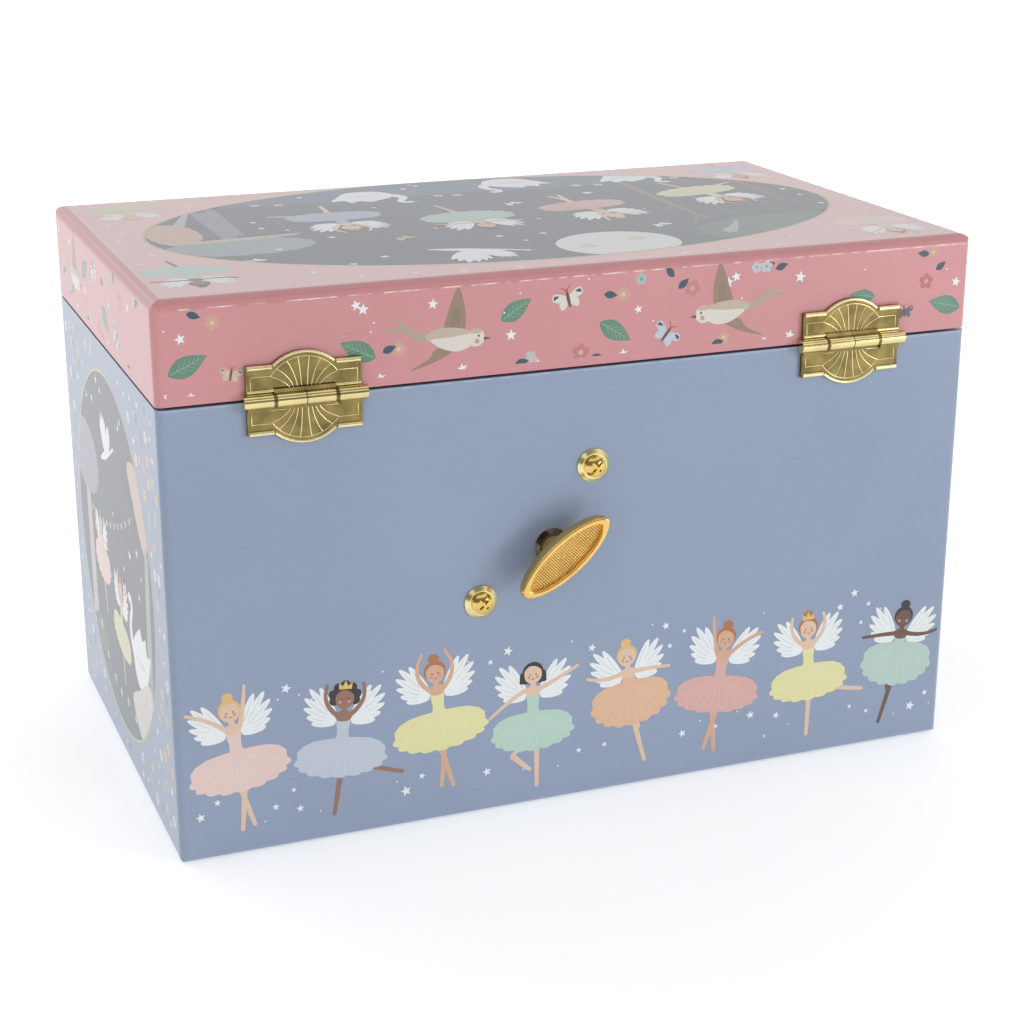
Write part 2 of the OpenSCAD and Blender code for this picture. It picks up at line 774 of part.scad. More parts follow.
module great_wheel() {
    half = 90 / crown_n * 0.72;
    r0 = crown_r - 1.2;
    r1 = crown_r + 1;
    color("#cfae5e") difference() {
        union() {
            rod_y(arbor_x, arbor_z, r1, crown_y + crown_add * 1.25,
                crown_y + crown_add * 1.25 + crown_disc_t);
            for (i = [0:crown_n - 1]) translate([arbor_x, crown_y, arbor_z])
                rotate([0, (i + 0.5) * 360 / crown_n, 0]) translate([0, 0, r0])
                    linear_extrude(r1 - r0 - 0.1) polygon([
                        [-crown_r * sin(1.4 * half), crown_add * 1.3],
                        [crown_r * sin(1.4 * half), crown_add * 1.3],
                        [crown_r * sin(0.5 * half), -crown_add * 0.8],
                        [-crown_r * sin(0.5 * half), -crown_add * 0.8]]);
        }
        rod_y(arbor_x, arbor_z, arbor_r, crown_y - 2, crown_y + 6);
    }
}

// ---------------------------------------------------------------- cylinder
axle_z0 = drive_z - gear_t / 2 - 1;
axle_z1 = top_bearing_z + 2;

module cylinder_axle() {
    color("#b4b8bc") translate([cyl_x, cyl_y, axle_z0]) cylinder(h = axle_z1 - axle_z0, r = axle_r);
}

pin_len = 0.5;
pin_rad = 0.22;
pins_per_row = 2;

module music_cylinder() {
    color("#d8bf6a") translate([cyl_x, cyl_y, cyl_z0]) difference() {
        union() {
            cylinder(h = cyl_len, r = cylinder_r);
            for (i = [0:comb_teeth - 1], k = [0:pins_per_row - 1])
                translate([0, 0, 0.5 + (i + 0.5) * comb_pitch])
                    rotate((i * 137 + k * 360 / pins_per_row + (i % 3) * 40) % 360)
                        rotate([0, 90, 0]) cylinder(h = cylinder_r + pin_len, r = pin_rad, $fn = 16);
        }
        translate([0, 0, -1]) cylinder(h = cyl_len + 2, r = axle_r);
    }
}

// drive gear for the dancer, pinion under the great wheel, gear for the governor
module cylinder_gears() {
    color("#cfae5e") translate([cyl_x, cyl_y, 0]) {
        translate([0, 0, drive_z - gear_t / 2]) rotate(drive_turn)
            spur(drive_n, gear_m, gear_t, axle_r);
        translate([0, 0, pinion_z - gear_t / 2]) rotate(90) spur(pinion_n, gear_m, gear_t, axle_r);
        translate([0, 0, top_gear_z]) spur(top_n, gov_m, 1.6, axle_r);
    }
}
// direction from the cylinder to the spindle; a tooth of one gear meets a gap of the other
spindle_dir = atan2(spindle_y - cyl_y, spindle_x - cyl_x);
drive_turn = spindle_dir;
dancer_turn = spindle_dir + 180 + 180 / dancer_n;

// ---------------------------------------------------------------- governor
module governor_wheel() {
    color("#cfae5e") translate([gov_x, cyl_y, 0]) union() {
        translate([0, 0, gov_low_z - 0.4])
            cylinder(h = gov_top_z + 1.9 - gov_low_z, r = gov_axle_r);
        translate([0, 0, top_gear_z - 0.1]) rotate(180 / gov_pinion_n)
            spur(gov_pinion_n, gov_m, 1.8, gov_axle_r / 2, 0.66);
        translate([0, 0, worm_z - 0.7]) rotate(90) spur(worm_n, worm_m, 1.2, gov_axle_r / 2, 0.5);
    }
}

worm_turns = 3;
worm_phase = 270;

module fly() {
    color("#d8d0b8") union() {
        rod_x(worm_y, worm_z, fly_shaft_r, fly_x - 4, gov_post_x[1] + gov_post_t + 0.6);
        translate([gov_x - worm_lead * worm_turns / 2, worm_y, worm_z]) rotate([0, 90, 0])
            rotate(worm_phase) linear_extrude(worm_lead * worm_turns, twist = -360 * worm_turns,
                slices = 36) translate([worm_offset, 0]) circle(worm_r, $fn = 16);
        rod_x(worm_y, worm_z, 1.2, fly_x - 3, fly_x + 3);
        for (a = [0, 180]) translate([fly_x, worm_y, worm_z]) rotate([a, 0, 0])
            translate([-3, -0.2, 0]) cube([6, 0.4, fly_r]);
    }
}

// ---------------------------------------------------------------- dancer
module dancer_spindle() {
    color("#c9c2b0") translate([spindle_x, spindle_y, 0]) union() {
        translate([0, 0, shelf_z1 + 0.6]) cylinder(h = disc_z - shelf_z1, r = spindle_r);
        translate([0, 0, disc_z]) cylinder(h = disc_t, r = disc_r);
    }
}

module dancer_gear() {
    color("#e8e4da") translate([spindle_x, spindle_y, drive_z - gear_t / 2]) rotate(dancer_turn)
        spur(dancer_n, gear_m, gear_t, spindle_r);
}

// close-wound coil spring under the feet
module dancer_spring() {
    color("#c9ccd0") translate([spindle_x, spindle_y, disc_z + disc_t]) rotate_extrude()
        union() {
            for (i = [0:spring_coils - 1])
                translate([2, spring_wire * (0.98 + 1.96 * i)]) circle(spring_wire);
            translate([2 - spring_wire / 2, 0])
                square([spring_wire, figure_z - disc_z - disc_t]);
        }
}

// a limb from a to b, thick at a and thin at b
module limb(a, b, ra, rb) {
    hull() {
        translate(a) sphere(ra, $fn = 20);
        translate(b) sphere(rb, $fn = 20);
    }
}

module dancer_figure() {
    h = dancer_h;
    color("#f0d8c8") translate([spindle_x, spindle_y, figure_z]) union() {
        cylinder(h = 0.03 * h, r = 2.4);
        limb([0, 0, 0.04 * h], [0, 0, 0.42 * h], 0.7, 1.5);
        limb([0, 0, 0.42 * h], [0, 0, 0.7 * h], 1.9, 2.1);
        translate([0, 0, 0.82 * h]) sphere(head_r);
        translate([0, 0, 0.7 * h]) cylinder(h = 0.08 * h, r = 0.9);
        for (s = [-1, 1]) {
            limb([s * 1.8, 0, 0.69 * h], [s * 5, 0, 0.82 * h], 0.75, 0.6);
            limb([s * 5, 0, 0.82 * h], [s * 1.2, 0, h - 0.6], 0.6, 0.5);
        }
    }
}

tutu_t = 2.4;

module dancer_tutu() {
    color("#f6c6d2") translate([spindle_x, spindle_y, tutu_z]) rotate_extrude()
        polygon([[2.2, 0.4], [tutu_r, 0], [tutu_r, tutu_t - 0.6], [2.2, tutu_t]]);
}

// ---------------------------------------------------------------- stop rod
module stop_rod() {
    color("#c9ccd0") translate([fly_x, worm_y, 0]) union() {
        translate([0, 0, rod_foot_z]) cylinder(h = 0.8, r = 2.2);
        translate([0, 0, rod_foot_z]) cylinder(h = rod_top_z - rod_foot_z - 1, r = rod_r);
        translate([0, 0, rod_top_z - 2]) cylinder(h = 2, r = 2.4);
    }
}

base_sheet();
case_base_panel();
case_back_panel();
case_front_panel();
case_side_panel(-1);  // case_left_panel
case_side_panel(1);  // case_right_panel
drawer_shelf();
case_wrap();
tray_dividers();
tray_lining();
ring_cushion();
movement_housing();
stage_box();
spindle_bush();
case_leaf(-hinge_span / 2);  // hinge_left_case_leaf
case_leaf(hinge_span / 2);  // hinge_right_case_leaf
hinge_pin(-hinge_span / 2);  // hinge_left_pin
hinge_pin(hinge_span / 2);  // hinge_right_pin
movement_bedplate();
spring_housing();
mainspring();
comb_base();
music_comb();
comb_screws();
cylinder_bearings();
governor_bracket();
movement_screws();
cup_washers();
lid_top_board();
lid_long_rail(-1);  // lid_front_rail
lid_long_rail(1);  // lid_back_rail
lid_short_rail(-1);  // lid_left_rail
lid_short_rail(1);  // lid_right_rail
lid_wrap();
lid_lining();
mirror_frame();
mirror_glass();
lid_leaf(-hinge_span / 2);  // hinge_left_lid_leaf
lid_leaf(hinge_span / 2);  // hinge_right_lid_leaf
drawer_front();
drawer_side(-1);  // drawer_left_side
drawer_side(1);  // drawer_right_side
drawer_back();
drawer_bottom();
drawer_knob();
knob_screw();
winding_key();
winding_arbor();
great_wheel();
cylinder_axle();
music_cylinder();
cylinder_gears();
governor_wheel();
fly();
dancer_spindle();
dancer_gear();
dancer_spring();
dancer_figure();
dancer_tutu();
stop_rod();
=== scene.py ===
# %% [markdown]
# A musical jewellery box: a board box covered with laminated printed paper, brass hinges and a wind-up key
# on its back, a drawer in its front, and a dancer on a spindle under the lid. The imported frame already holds
# every part at its real size. This file gives each one its finish, draws the printed paper, and models the
# pieces whose looks a plain solid can't give.

# %% Load the frame
import math
import random
import bpy
from mathutils import Matrix, Vector


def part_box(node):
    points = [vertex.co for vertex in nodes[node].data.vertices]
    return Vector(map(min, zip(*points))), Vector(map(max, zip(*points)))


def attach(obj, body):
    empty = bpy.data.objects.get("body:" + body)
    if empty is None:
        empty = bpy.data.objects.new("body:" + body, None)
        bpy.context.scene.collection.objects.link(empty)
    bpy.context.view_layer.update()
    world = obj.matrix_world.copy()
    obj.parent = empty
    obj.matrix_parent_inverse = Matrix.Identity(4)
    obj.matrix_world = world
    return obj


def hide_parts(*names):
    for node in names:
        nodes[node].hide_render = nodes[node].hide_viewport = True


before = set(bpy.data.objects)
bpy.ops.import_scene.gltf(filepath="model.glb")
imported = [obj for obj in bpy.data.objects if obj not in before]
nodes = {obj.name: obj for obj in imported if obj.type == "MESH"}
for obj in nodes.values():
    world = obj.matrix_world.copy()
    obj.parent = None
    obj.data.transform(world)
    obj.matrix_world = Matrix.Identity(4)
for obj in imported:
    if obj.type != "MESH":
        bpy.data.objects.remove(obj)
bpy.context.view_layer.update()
MM = 0.001
print("loaded", len(nodes), "nodes")

# %% [markdown]
# Everything is placed from the frame's own boxes. The case and lid papers give the box's outer planes, so the
# print lies on them whatever the box measures.

# %% Planes of the box
case_lo, case_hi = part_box("case_wrap")
lid_lo, lid_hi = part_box("lid_wrap")
WIDTH = (case_hi.x - case_lo.x) / MM
DEPTH = (case_hi.y - case_lo.y) / MM
CASE_TOP = case_hi.z / MM
LID_LOW = lid_lo.z / MM
LID_TOP = lid_hi.z / MM
print(f"box {WIDTH:.1f} x {DEPTH:.1f} x {LID_TOP:.1f} mm, seam at {CASE_TOP:.1f}")

# %% [markdown]
# The camera is a 73 mm lens about half a metre away, behind the box and to one side, looking at the hinges.
# Its place is given in box widths, so it follows the box's size.

# %% Camera
AZIMUTH = 158.77
ELEVATION = 18.90
back_dir = Vector((math.sin(math.radians(AZIMUTH)) * math.cos(math.radians(ELEVATION)),
                   -math.cos(math.radians(AZIMUTH)) * math.cos(math.radians(ELEVATION)),
                   math.sin(math.radians(ELEVATION))))
camera_data = bpy.data.cameras.new("camera")
camera_data.lens = 73.28
camera_data.sensor_width = 36
camera = bpy.data.objects.new("camera", camera_data)
bpy.context.scene.collection.objects.link(camera)
camera.location = Vector((0.9171, 2.4116, 1.1550)) * WIDTH * MM
camera.rotation_mode = "QUATERNION"
camera.rotation_quaternion = (-back_dir).to_track_quat("-Z", "Y")
camera_data.clip_start = 0.02
bpy.context.scene.camera = camera
print("camera at", tuple(round(v, 3) for v in camera.location))

# %% [markdown]
# Colours are written as a printer or painter would note them, in sRGB hex, and one function turns them to the
# linear values that the renderer wants. A second function adds a node with its settings and links, which
# keeps each material readable from top to bottom.

# %% Colour and node helpers
def linear(code, alpha=1.0):
    """sRGB hex such as 93a3c1 to a linear colour."""
    parts = [int(code[i:i + 2], 16) / 255 for i in (0, 2, 4)]
    return tuple(p / 12.92 if p <= 0.04045 else ((p + 0.055) / 1.055) ** 2.4 for p in parts) + (alpha,)


def add_node(tree, kind, settings=None, **links):
    """Adds a node. settings hold its properties, its inputs' values or the sockets that feed them, by name or
    number; links name an input and the socket that feeds it."""
    made = tree.nodes.new(kind)
    for key, value in (settings or {}).items():
        if isinstance(key, str) and hasattr(made, key):
            setattr(made, key, value)
        elif isinstance(value, bpy.types.NodeSocket):
            tree.links.new(value, made.inputs[key])
        else:
            made.inputs[key].default_value = value
    for key, source in links.items():
        tree.links.new(source, made.inputs[key.replace("_", " ")])
    return made


def new_material(name, **values):
    """A material with one Principled shader whose plain values are set on its own sockets."""
    mat = bpy.data.materials.new(name)
    mat.use_nodes = True
    shader = mat.node_tree.nodes["Principled BSDF"]
    for key, value in values.items():
        shader.inputs[key.replace("_", " ")].default_value = value
    return mat, mat.node_tree, shader


def uneven_colour(tree, shader, share, low, high, start=0.0, end=1.0):
    """Lets the base colour drift from low to high as share goes from start to end."""
    ramp = add_node(tree, "ShaderNodeValToRGB", None, Fac=share)
    for stop, position, colour in zip(ramp.color_ramp.elements, (start, end), (low, high)):
        stop.position = position
        stop.color = colour
    tree.links.new(ramp.outputs["Color"], shader.inputs["Base Color"])


def raised(tree, shader, height, strength, distance):
    """Gives the surface fine relief; distance is its depth in metres."""
    bump = add_node(tree, "ShaderNodeBump", {"Strength": strength, "Distance": distance}, Height=height)
    tree.links.new(bump.outputs["Normal"], shader.inputs["Normal"])


def wobble(code, amount):
    """Two neighbours of a colour, a little darker and a little lighter, for uneven stock."""
    r, g, b, a = linear(code)
    low = tuple(max(0, c * (1 - amount)) for c in (r, g, b)) + (a,)
    high = tuple(min(1, c * (1 + amount)) for c in (r, g, b)) + (a,)
    return low, high


def millimetres(size):
    """Noise scale whose lumps are about this many millimetres across, on metre coordinates."""
    return 1 / (size * MM)


# %% [markdown]
# A product table: light from all round that weakens overhead, a soft lamp low at the right end, and a small
# one that reaches the far end and the floor behind. Polished metal mirrors a darker room with one bright
# strip, which is what gives brass its contrast. The floor is plain and pale. The view is left untouched by a
# film look, so that the paper's colours stay what the printer mixed.

# %% Light and floor
scene = bpy.context.scene
scene.view_settings.view_transform = "Standard"
world = bpy.data.worlds.new("white_room")
scene.world = world
world.use_nodes = True
tree = world.node_tree
toward = add_node(tree, "ShaderNodeTexCoord")
axes = add_node(tree, "ShaderNodeSeparateXYZ", None, Vector=toward.outputs["Generated"])
height = add_node(tree, "ShaderNodeMapRange", {"From Min": 0.35, "From Max": 0.8, "To Min": 1.0,
                                               "To Max": 0.5}, Value=axes.outputs["Z"])
room = add_node(tree, "ShaderNodeMapRange", {"From Min": 0.1, "From Max": 0.5, "To Min": 1.0, "To Max": 0.22},
                Value=axes.outputs["Y"])
strip = add_node(tree, "ShaderNodeMath", {"operation": "COMPARE", 0: axes.outputs["Z"], 1: 0.62, 2: 0.12})
mirrored = add_node(tree, "ShaderNodeMath", {"operation": "MAXIMUM", 0: room.outputs["Result"],
                                             1: strip.outputs["Value"]})
rays = add_node(tree, "ShaderNodeLightPath")
chosen = add_node(tree, "ShaderNodeMix", {"data_type": "FLOAT", 0: rays.outputs["Is Glossy Ray"],
                                          2: height.outputs["Result"], 3: mirrored.outputs["Value"]})
tree.links.new(chosen.outputs[0], tree.nodes["Background"].inputs["Strength"])
tree.nodes["Background"].inputs["Color"].default_value = (1.0, 1.0, 1.0, 1.0)


def soft_lamp(name, place, aim, size, watts):
    """A square area lamp in metres, turned towards aim."""
    data = bpy.data.lights.new(name, "AREA")
    data.size = size
    data.energy = watts
    lamp = bpy.data.objects.new(name, data)
    scene.collection.objects.link(lamp)
    lamp.location = place
    lamp.rotation_mode = "QUATERNION"
    lamp.rotation_quaternion = (Vector(aim) - Vector(place)).to_track_quat("-Z", "Y")
    return lamp


box_middle = (0, 0, LID_TOP / 2 * MM)
soft_lamp("side_softbox", (-0.9, 1.0, 0.22), box_middle, 0.4, 3.9)
soft_lamp("end_softbox", (0.5, -0.75, 0.6), (0.4, -0.45, 0), 0.6, 1.6)
bpy.ops.object.select_all(action="DESELECT")
bpy.ops.mesh.primitive_plane_add(size=6, location=(0, 0, 0))
floor = bpy.context.object
floor.name = "floor"
print("lit with the world and two lamps")

# %% [markdown]
# Laminated printed paper: offset ink on coated stock, under a clear film. The film gives an even semi-gloss
# and, seen at a low angle, washes the dark inks grey. Under it the ink lies unevenly by a few percent, and
# the stock's calendered fibres show as faint level streaks about 0.4 mm apart. All inks share this recipe,
# so a printed shape and the ground round it shine as one sheet.

# %% Printed paper
def printed_paper(name, code, unevenness=0.05):
    mat, tree, shader = new_material(name, Roughness=0.3, IOR=1.5, Coat_Weight=0.25, Coat_Roughness=0.12)
    place = add_node(tree, "ShaderNodeTexCoord")
    stretch = add_node(tree, "ShaderNodeMapping", {"Scale": (0.12, 0.12, 1.0)},
                       Vector=place.outputs["Object"])
    fibre = add_node(tree, "ShaderNodeTexNoise", {"Scale": millimetres(0.45), "Detail": 3.0},
                     Vector=stretch.outputs["Vector"])
    cloud = add_node(tree, "ShaderNodeTexNoise", {"Scale": millimetres(45), "Detail": 2.0},
                     Vector=place.outputs["Object"])
    mix = add_node(tree, "ShaderNodeMath", {"operation": "MULTIPLY_ADD", 0: fibre.outputs["Fac"], 1: 0.55,
                                            2: cloud.outputs["Fac"]})
    uneven_colour(tree, shader, mix.outputs["Value"], *wobble(code, unevenness), 0.45, 1.0)
    raised(tree, shader, fibre.outputs["Fac"], 0.05, 0.00008)
    return mat


blue_paper = printed_paper("blue_laminated_paper", "8492aa")
pink_paper = printed_paper("pink_laminated_paper", "c08487")


def painted_edge_highlight(mat, level, width, code, whole):
    """A broken pale line of painted highlight where the paper turns over a board's rounded edge, on the back
    face only: at a level and of a half width in millimetres. whole is the share of the line that stays whole."""
    tree = mat.node_tree
    shader = tree.nodes["Principled BSDF"]
    colour = shader.inputs["Base Color"].links[0].from_socket
    place = add_node(tree, "ShaderNodeTexCoord")
    axes = add_node(tree, "ShaderNodeSeparateXYZ", None, Vector=place.outputs["Object"])
    away = add_node(tree, "ShaderNodeMath", {"operation": "SUBTRACT", 0: axes.outputs["Z"], 1: level * MM})
    size = add_node(tree, "ShaderNodeMath", {"operation": "ABSOLUTE", 0: away.outputs["Value"]})
    near = add_node(tree, "ShaderNodeMapRange", {"From Min": width * 0.4 * MM, "From Max": width * MM,
                                                 "To Min": 1.0, "To Max": 0.0}, Value=size.outputs["Value"])
    patchy = add_node(tree, "ShaderNodeTexNoise", {"Scale": millimetres(3), "Detail": 4.0},
                      Vector=place.outputs["Object"])
    gate = add_node(tree, "ShaderNodeMapRange", {"From Min": whole, "From Max": whole + 0.2},
                    Value=patchy.outputs["Fac"])
    behind = add_node(tree, "ShaderNodeMath", {"operation": "GREATER_THAN", 0: axes.outputs["Y"],
                                               1: (DEPTH / 2 - 0.6) * MM})
    there = add_node(tree, "ShaderNodeMath", {"operation": "MULTIPLY", 0: near.outputs["Result"],
                                              1: behind.outputs["Value"]})
    share = add_node(tree, "ShaderNodeMath", {"operation": "MULTIPLY", 0: there.outputs["Value"],
                                              1: gate.outputs["Result"]})
    blend = add_node(tree, "ShaderNodeMix", {"data_type": "RGBA", 0: share.outputs["Value"], 6: colour,
                                             7: linear(code)})
    tree.links.new(blend.outputs[2], shader.inputs["Base Color"])


# Painted highlights: a broken pale line along the rounded top edge of the lid and one along the case's top
# edge, on the back face.
painted_edge_highlight(pink_paper, LID_TOP - 2.1, 0.19, "e4d3d0", 0.42)
painted_edge_highlight(blue_paper, CASE_TOP - 0.35, 0.3, "97a4b9", 0.3)
print("papers ready")

# %% [markdown]
# Metals. Stamped hinges are brass-plated steel, rolled and lightly scuffed; the key and the knob carry a
# warmer gold plate; the movement is matt zinc casting with bright pressed steel. A metal keeps its default
# index and gets its character from roughness: fine scratches change how tight the highlight is.

# %% Metals
def plated_metal(name, code, rough, scratch_mm=0.3, stretch=(1, 1, 1), unevenness=0.1, relief=0.06):
    mat, tree, shader = new_material(name, Metallic=1.0)
    place = add_node(tree, "ShaderNodeTexCoord")
    turned = add_node(tree, "ShaderNodeMapping", {"Scale": stretch}, Vector=place.outputs["Object"])
    fine = add_node(tree, "ShaderNodeTexNoise", {"Scale": millimetres(scratch_mm), "Detail": 4.0},
                    Vector=turned.outputs["Vector"])
    patches = add_node(tree, "ShaderNodeTexNoise", {"Scale": millimetres(5), "Detail": 2.0},
                       Vector=place.outputs["Object"])
    spread = add_node(tree, "ShaderNodeMapRange", {"To Min": rough * 0.7, "To Max": rough * 1.4},
                      Value=fine.outputs["Fac"])
    tree.links.new(spread.outputs["Result"], shader.inputs["Roughness"])
    uneven_colour(tree, shader, patches.outputs["Fac"], *wobble(code, unevenness), 0.3, 0.7)
    raised(tree, shader, fine.outputs["Fac"], relief, 0.00005)
    return mat


# The leaf's brass is darkened below its own colour to stand for the dark room it mirrors: painted shade.
hinge_brass = plated_metal("stamped_brass_plate", "8a7a4c", 0.2, unevenness=0.35)
# The leaf's own brass made pale for its raised lines and beads: painted highlight.
pressed_line_highlight = plated_metal("pressed_line_painted_highlight", "f6e7b4", 0.2)
key_gold = plated_metal("orange_gold_plate", "f2c878", 0.14)
screw_gold = plated_metal("gold_plated_screw", "e6c574", 0.15)
washer_gold = plated_metal("pale_gold_washer", "e9dba0", 0.2)
gear_brass = plated_metal("cut_brass", "cfae5e", 0.3)
zinc_cast = plated_metal("matt_zinc_casting", "b9b9b5", 0.5, 0.5)
bright_steel = plated_metal("pressed_steel", "c2c6c9", 0.25, 0.2)
comb_steel = plated_metal("ground_comb_steel", "a4adb2", 0.28, 0.2, (1, 1, 8))
wire_steel = plated_metal("drawn_wire", "d4d4cf", 0.22, 0.2)

# %% [markdown]
# Board, flocking, satin and felt. Greyboard shows short fibres; flocked paper is a nap of tiny upright
# fibres, so it is rough, slightly mottled and has a sheen at grazing angles; satin has a close sheen along
# its threads; felt is matt and lumpy.

# %% Boards and linings
floor_mat, floor_tree, floor_shader = new_material("white_acrylic_table", Roughness=0.6,
                                                   Emission_Strength=0.38)
floor_place = add_node(floor_tree, "ShaderNodeTexCoord")
floor_mist = add_node(floor_tree, "ShaderNodeTexNoise", {"Scale": 3.0}, Vector=floor_place.outputs["Object"])
uneven_colour(floor_tree, floor_shader, floor_mist.outputs["Fac"], linear("f7f8f9"), linear("fbfcfc"))
floor_shader.inputs["Emission Color"].default_value = (1.0, 1.0, 1.0, 1.0)
floor.data.materials.append(floor_mat)


def fibrous(name, code, grain_mm, rough, sheen=0.0, relief=0.3, depth=0.00015, unevenness=0.12,
            stretch=(1, 1, 1)):
    mat, tree, shader = new_material(name, Roughness=rough, Sheen_Weight=sheen, Sheen_Roughness=0.4)
    place = add_node(tree, "ShaderNodeTexCoord")
    turned = add_node(tree, "ShaderNodeMapping", {"Scale": stretch}, Vector=place.outputs["Object"])
    grain = add_node(tree, "ShaderNodeTexNoise", {"Scale": millimetres(grain_mm), "Detail": 5.0},
                     Vector=turned.outputs["Vector"])
    uneven_colour(tree, shader, grain.outputs["Fac"], *wobble(code, unevenness), 0.3, 0.7)
    raised(tree, shader, grain.outputs["Fac"], relief, depth)
    return mat


greyboard = fibrous("pressed_fibreboard", "b9a07c", 1.2, 0.85, stretch=(0.3, 0.3, 1))
plain_board = fibrous("drawer_board", "cdb48c", 0.8, 0.8, stretch=(0.3, 0.3, 1))
pink_flock = fibrous("pink_flocked_paper", "dd93a5", 0.5, 0.95, 0.5, 0.5)
pale_flock = fibrous("pale_pink_flocked_paper", "e5a9b5", 0.5, 0.95, 0.5, 0.5)
pink_satin = fibrous("pink_satin", "ecb4c0", 0.35, 0.45, 0.4, 0.2, 0.0001, 0.06, (6, 1, 1))
grey_felt = fibrous("grey_felt", "4a4d55", 1.5, 1.0, 0.3, 0.6)
covered_board = printed_paper("pale_pink_covering_paper", "e6b3bb")
nylon = fibrous("white_nylon", "e4e0d6", 2.0, 0.4, 0.0, 0.05)
skin_paint = fibrous("painted_skin", "f1cdb4", 3.0, 0.4, 0.0, 0.03, unevenness=0.04)
gold_film = plated_metal("gold_film", "d9b86c", 0.3, unevenness=0.04)

mirror_mat, mirror_tree, mirror_shader = new_material("silvered_mirror", Metallic=1.0, Roughness=0.02)
mirror_place = add_node(mirror_tree, "ShaderNodeTexCoord")
mirror_haze = add_node(mirror_tree, "ShaderNodeTexNoise", {"Scale": millimetres(30)},
                       Vector=mirror_place.outputs["Object"])
uneven_colour(mirror_tree, mirror_shader, mirror_haze.outputs["Fac"], linear("dfe6ea"), linear("eef3f5"))

# %% [markdown]
# Every part of the frame whose shape is already right keeps it, and only its finish is given here.

# %% Finishes on the frame's own parts
FINISHES = {
    grey_felt: ["base_sheet"],
    blue_paper: ["case_wrap"],
    pink_paper: ["lid_wrap", "drawer_front"],
    greyboard: ["case_base_panel", "case_back_panel", "case_front_panel", "case_left_panel",
                "case_right_panel", "drawer_shelf", "lid_top_board"],
    covered_board: ["tray_dividers", "movement_housing", "stage_box", "lid_front_rail", "lid_back_rail",
                    "lid_left_rail", "lid_right_rail"],
    pink_flock: ["tray_lining", "drawer_bottom"],
    pale_flock: ["lid_lining"],
    pink_satin: ["ring_cushion"],
    plain_board: ["drawer_left_side", "drawer_right_side", "drawer_back"],
    hinge_brass: ["hinge_left_case_leaf", "hinge_right_case_leaf", "hinge_left_lid_leaf",
                  "hinge_right_lid_leaf"],
    wire_steel: ["hinge_left_pin", "hinge_right_pin", "stop_rod", "dancer_spring", "knob_screw"],
    zinc_cast: ["movement_bedplate", "comb_base", "cylinder_bearings", "governor_bracket"],
    bright_steel: ["spring_housing", "mainspring", "comb_screws", "cylinder_axle", "winding_arbor",
                   "dancer_spindle"],
    comb_steel: ["music_comb"],
    screw_gold: ["movement_screws"],
    washer_gold: ["cup_washers"],
    key_gold: ["winding_key", "drawer_knob"],
    gear_brass: ["great_wheel", "music_cylinder", "cylinder_gears", "governor_wheel", "spindle_bush"],
    nylon: ["fly", "dancer_gear"],
    skin_paint: ["dancer_figure", "dancer_tutu"],
    gold_film: ["mirror_frame"],
    mirror_mat: ["mirror_glass"],
}
for finish, names in FINISHES.items():
    for name in names:
        mesh = nodes[name].data
        mesh.materials.clear()
        mesh.materials.append(finish)
print("finished", sum(len(v) for v in FINISHES.values()), "of", len(nodes), "nodes")

# %% [markdown]
# The printed picture is drawn as a maker of paper cut-outs would: every shape is a flat outline in its own
# colour, laid a few thousandths of a millimetre above the one under it, so real films of ink overlap in the
# painter's order. An outline is a list of (across, up) points in millimetres on its panel. The helpers below
# build outlines from circles, smooth loops and tapering strokes.

# %% Outline helpers
def placed(x, y, size=1.0, flip=1, turn=0):
    """A function that carries a motif's point to its place: mirrored, scaled, turned, moved."""
    c, s = math.cos(math.radians(turn)), math.sin(math.radians(turn))

    def place(p):
        px, py = flip * p[0] * size, p[1] * size
        return (x + px * c - py * s, y + px * s + py * c)

    return place


def round_the(x, y, rx, ry, turn, count, reach=lambda a: 1.0):
    """A closed outline round a point; reach tells how far out it is at each angle, as a share of the oval."""
    place = placed(x, y, turn=turn)
    angles = [2 * math.pi * i / count for i in range(count)]
    return [place((rx * reach(a) * math.cos(a), ry * reach(a) * math.sin(a))) for a in angles]


def oval(x, y, rx, ry=None, turn=0, count=28):
    return round_the(x, y, rx, rx if ry is None else ry, turn, count)


def scalloped(x, y, rx, ry, bumps, depth=0.07):
    return round_the(x, y, rx, ry, 0, 72, lambda a: 1 - depth + depth * abs(math.cos(bumps * a / 2)) * 1.4)


def petals(x, y, r, turn):
    return round_the(x, y, r, r, turn, 40, lambda a: 0.66 + 0.34 * abs(math.cos(5 * a / 2)))


def smooth(points, steps=5):
    """A closed smooth loop through the given points."""
    loop = []
    n = len(points)
    for i in range(n):
        p0, p1, p2, p3 = (Vector(points[(i + k) % n]) for k in (-1, 0, 1, 2))
        for s in range(steps):
            t = s / steps
            loop.append(tuple(0.5 * (2 * p1 + (p2 - p0) * t + (2 * p0 - 5 * p1 + 4 * p2 - p3) * t * t
                                     + (3 * p1 - p0 - 3 * p2 + p3) * t ** 3)))
    return loop


def stroke(start, bend, end, wide, narrow=None, steps=8):
    """A tapering limb or stem along a quadratic curve, with round ends."""
    narrow = wide if narrow is None else narrow
    a, b, c = Vector(start), Vector(bend), Vector(end)
    left, right = [], []
    for i in range(steps + 1):
        t = i / steps
        p = a * (1 - t) ** 2 + b * 2 * t * (1 - t) + c * t * t
        d = ((b - a) * (1 - t) + (c - b) * t).normalized()
        w = wide + (narrow - wide) * t
        side = Vector((-d.y, d.x)) * w
        left.append(tuple(p + side))
        right.append(tuple(p - side))
    d0, d1 = (b - a).normalized(), (c - b).normalized()
    return left + [tuple(c + d1 * narrow * 0.8)] + right[::-1] + [tuple(a - d0 * wide * 0.8)]


def star(x, y, r, turn):
    """A five-pointed star, its first point at turn degrees."""
    points = []
    for i in range(10):
        reach = r if i % 2 == 0 else r * 0.42
        a = math.radians(turn + i * 36)
        points.append((x + reach * math.cos(a), y + reach * math.sin(a)))
    return points


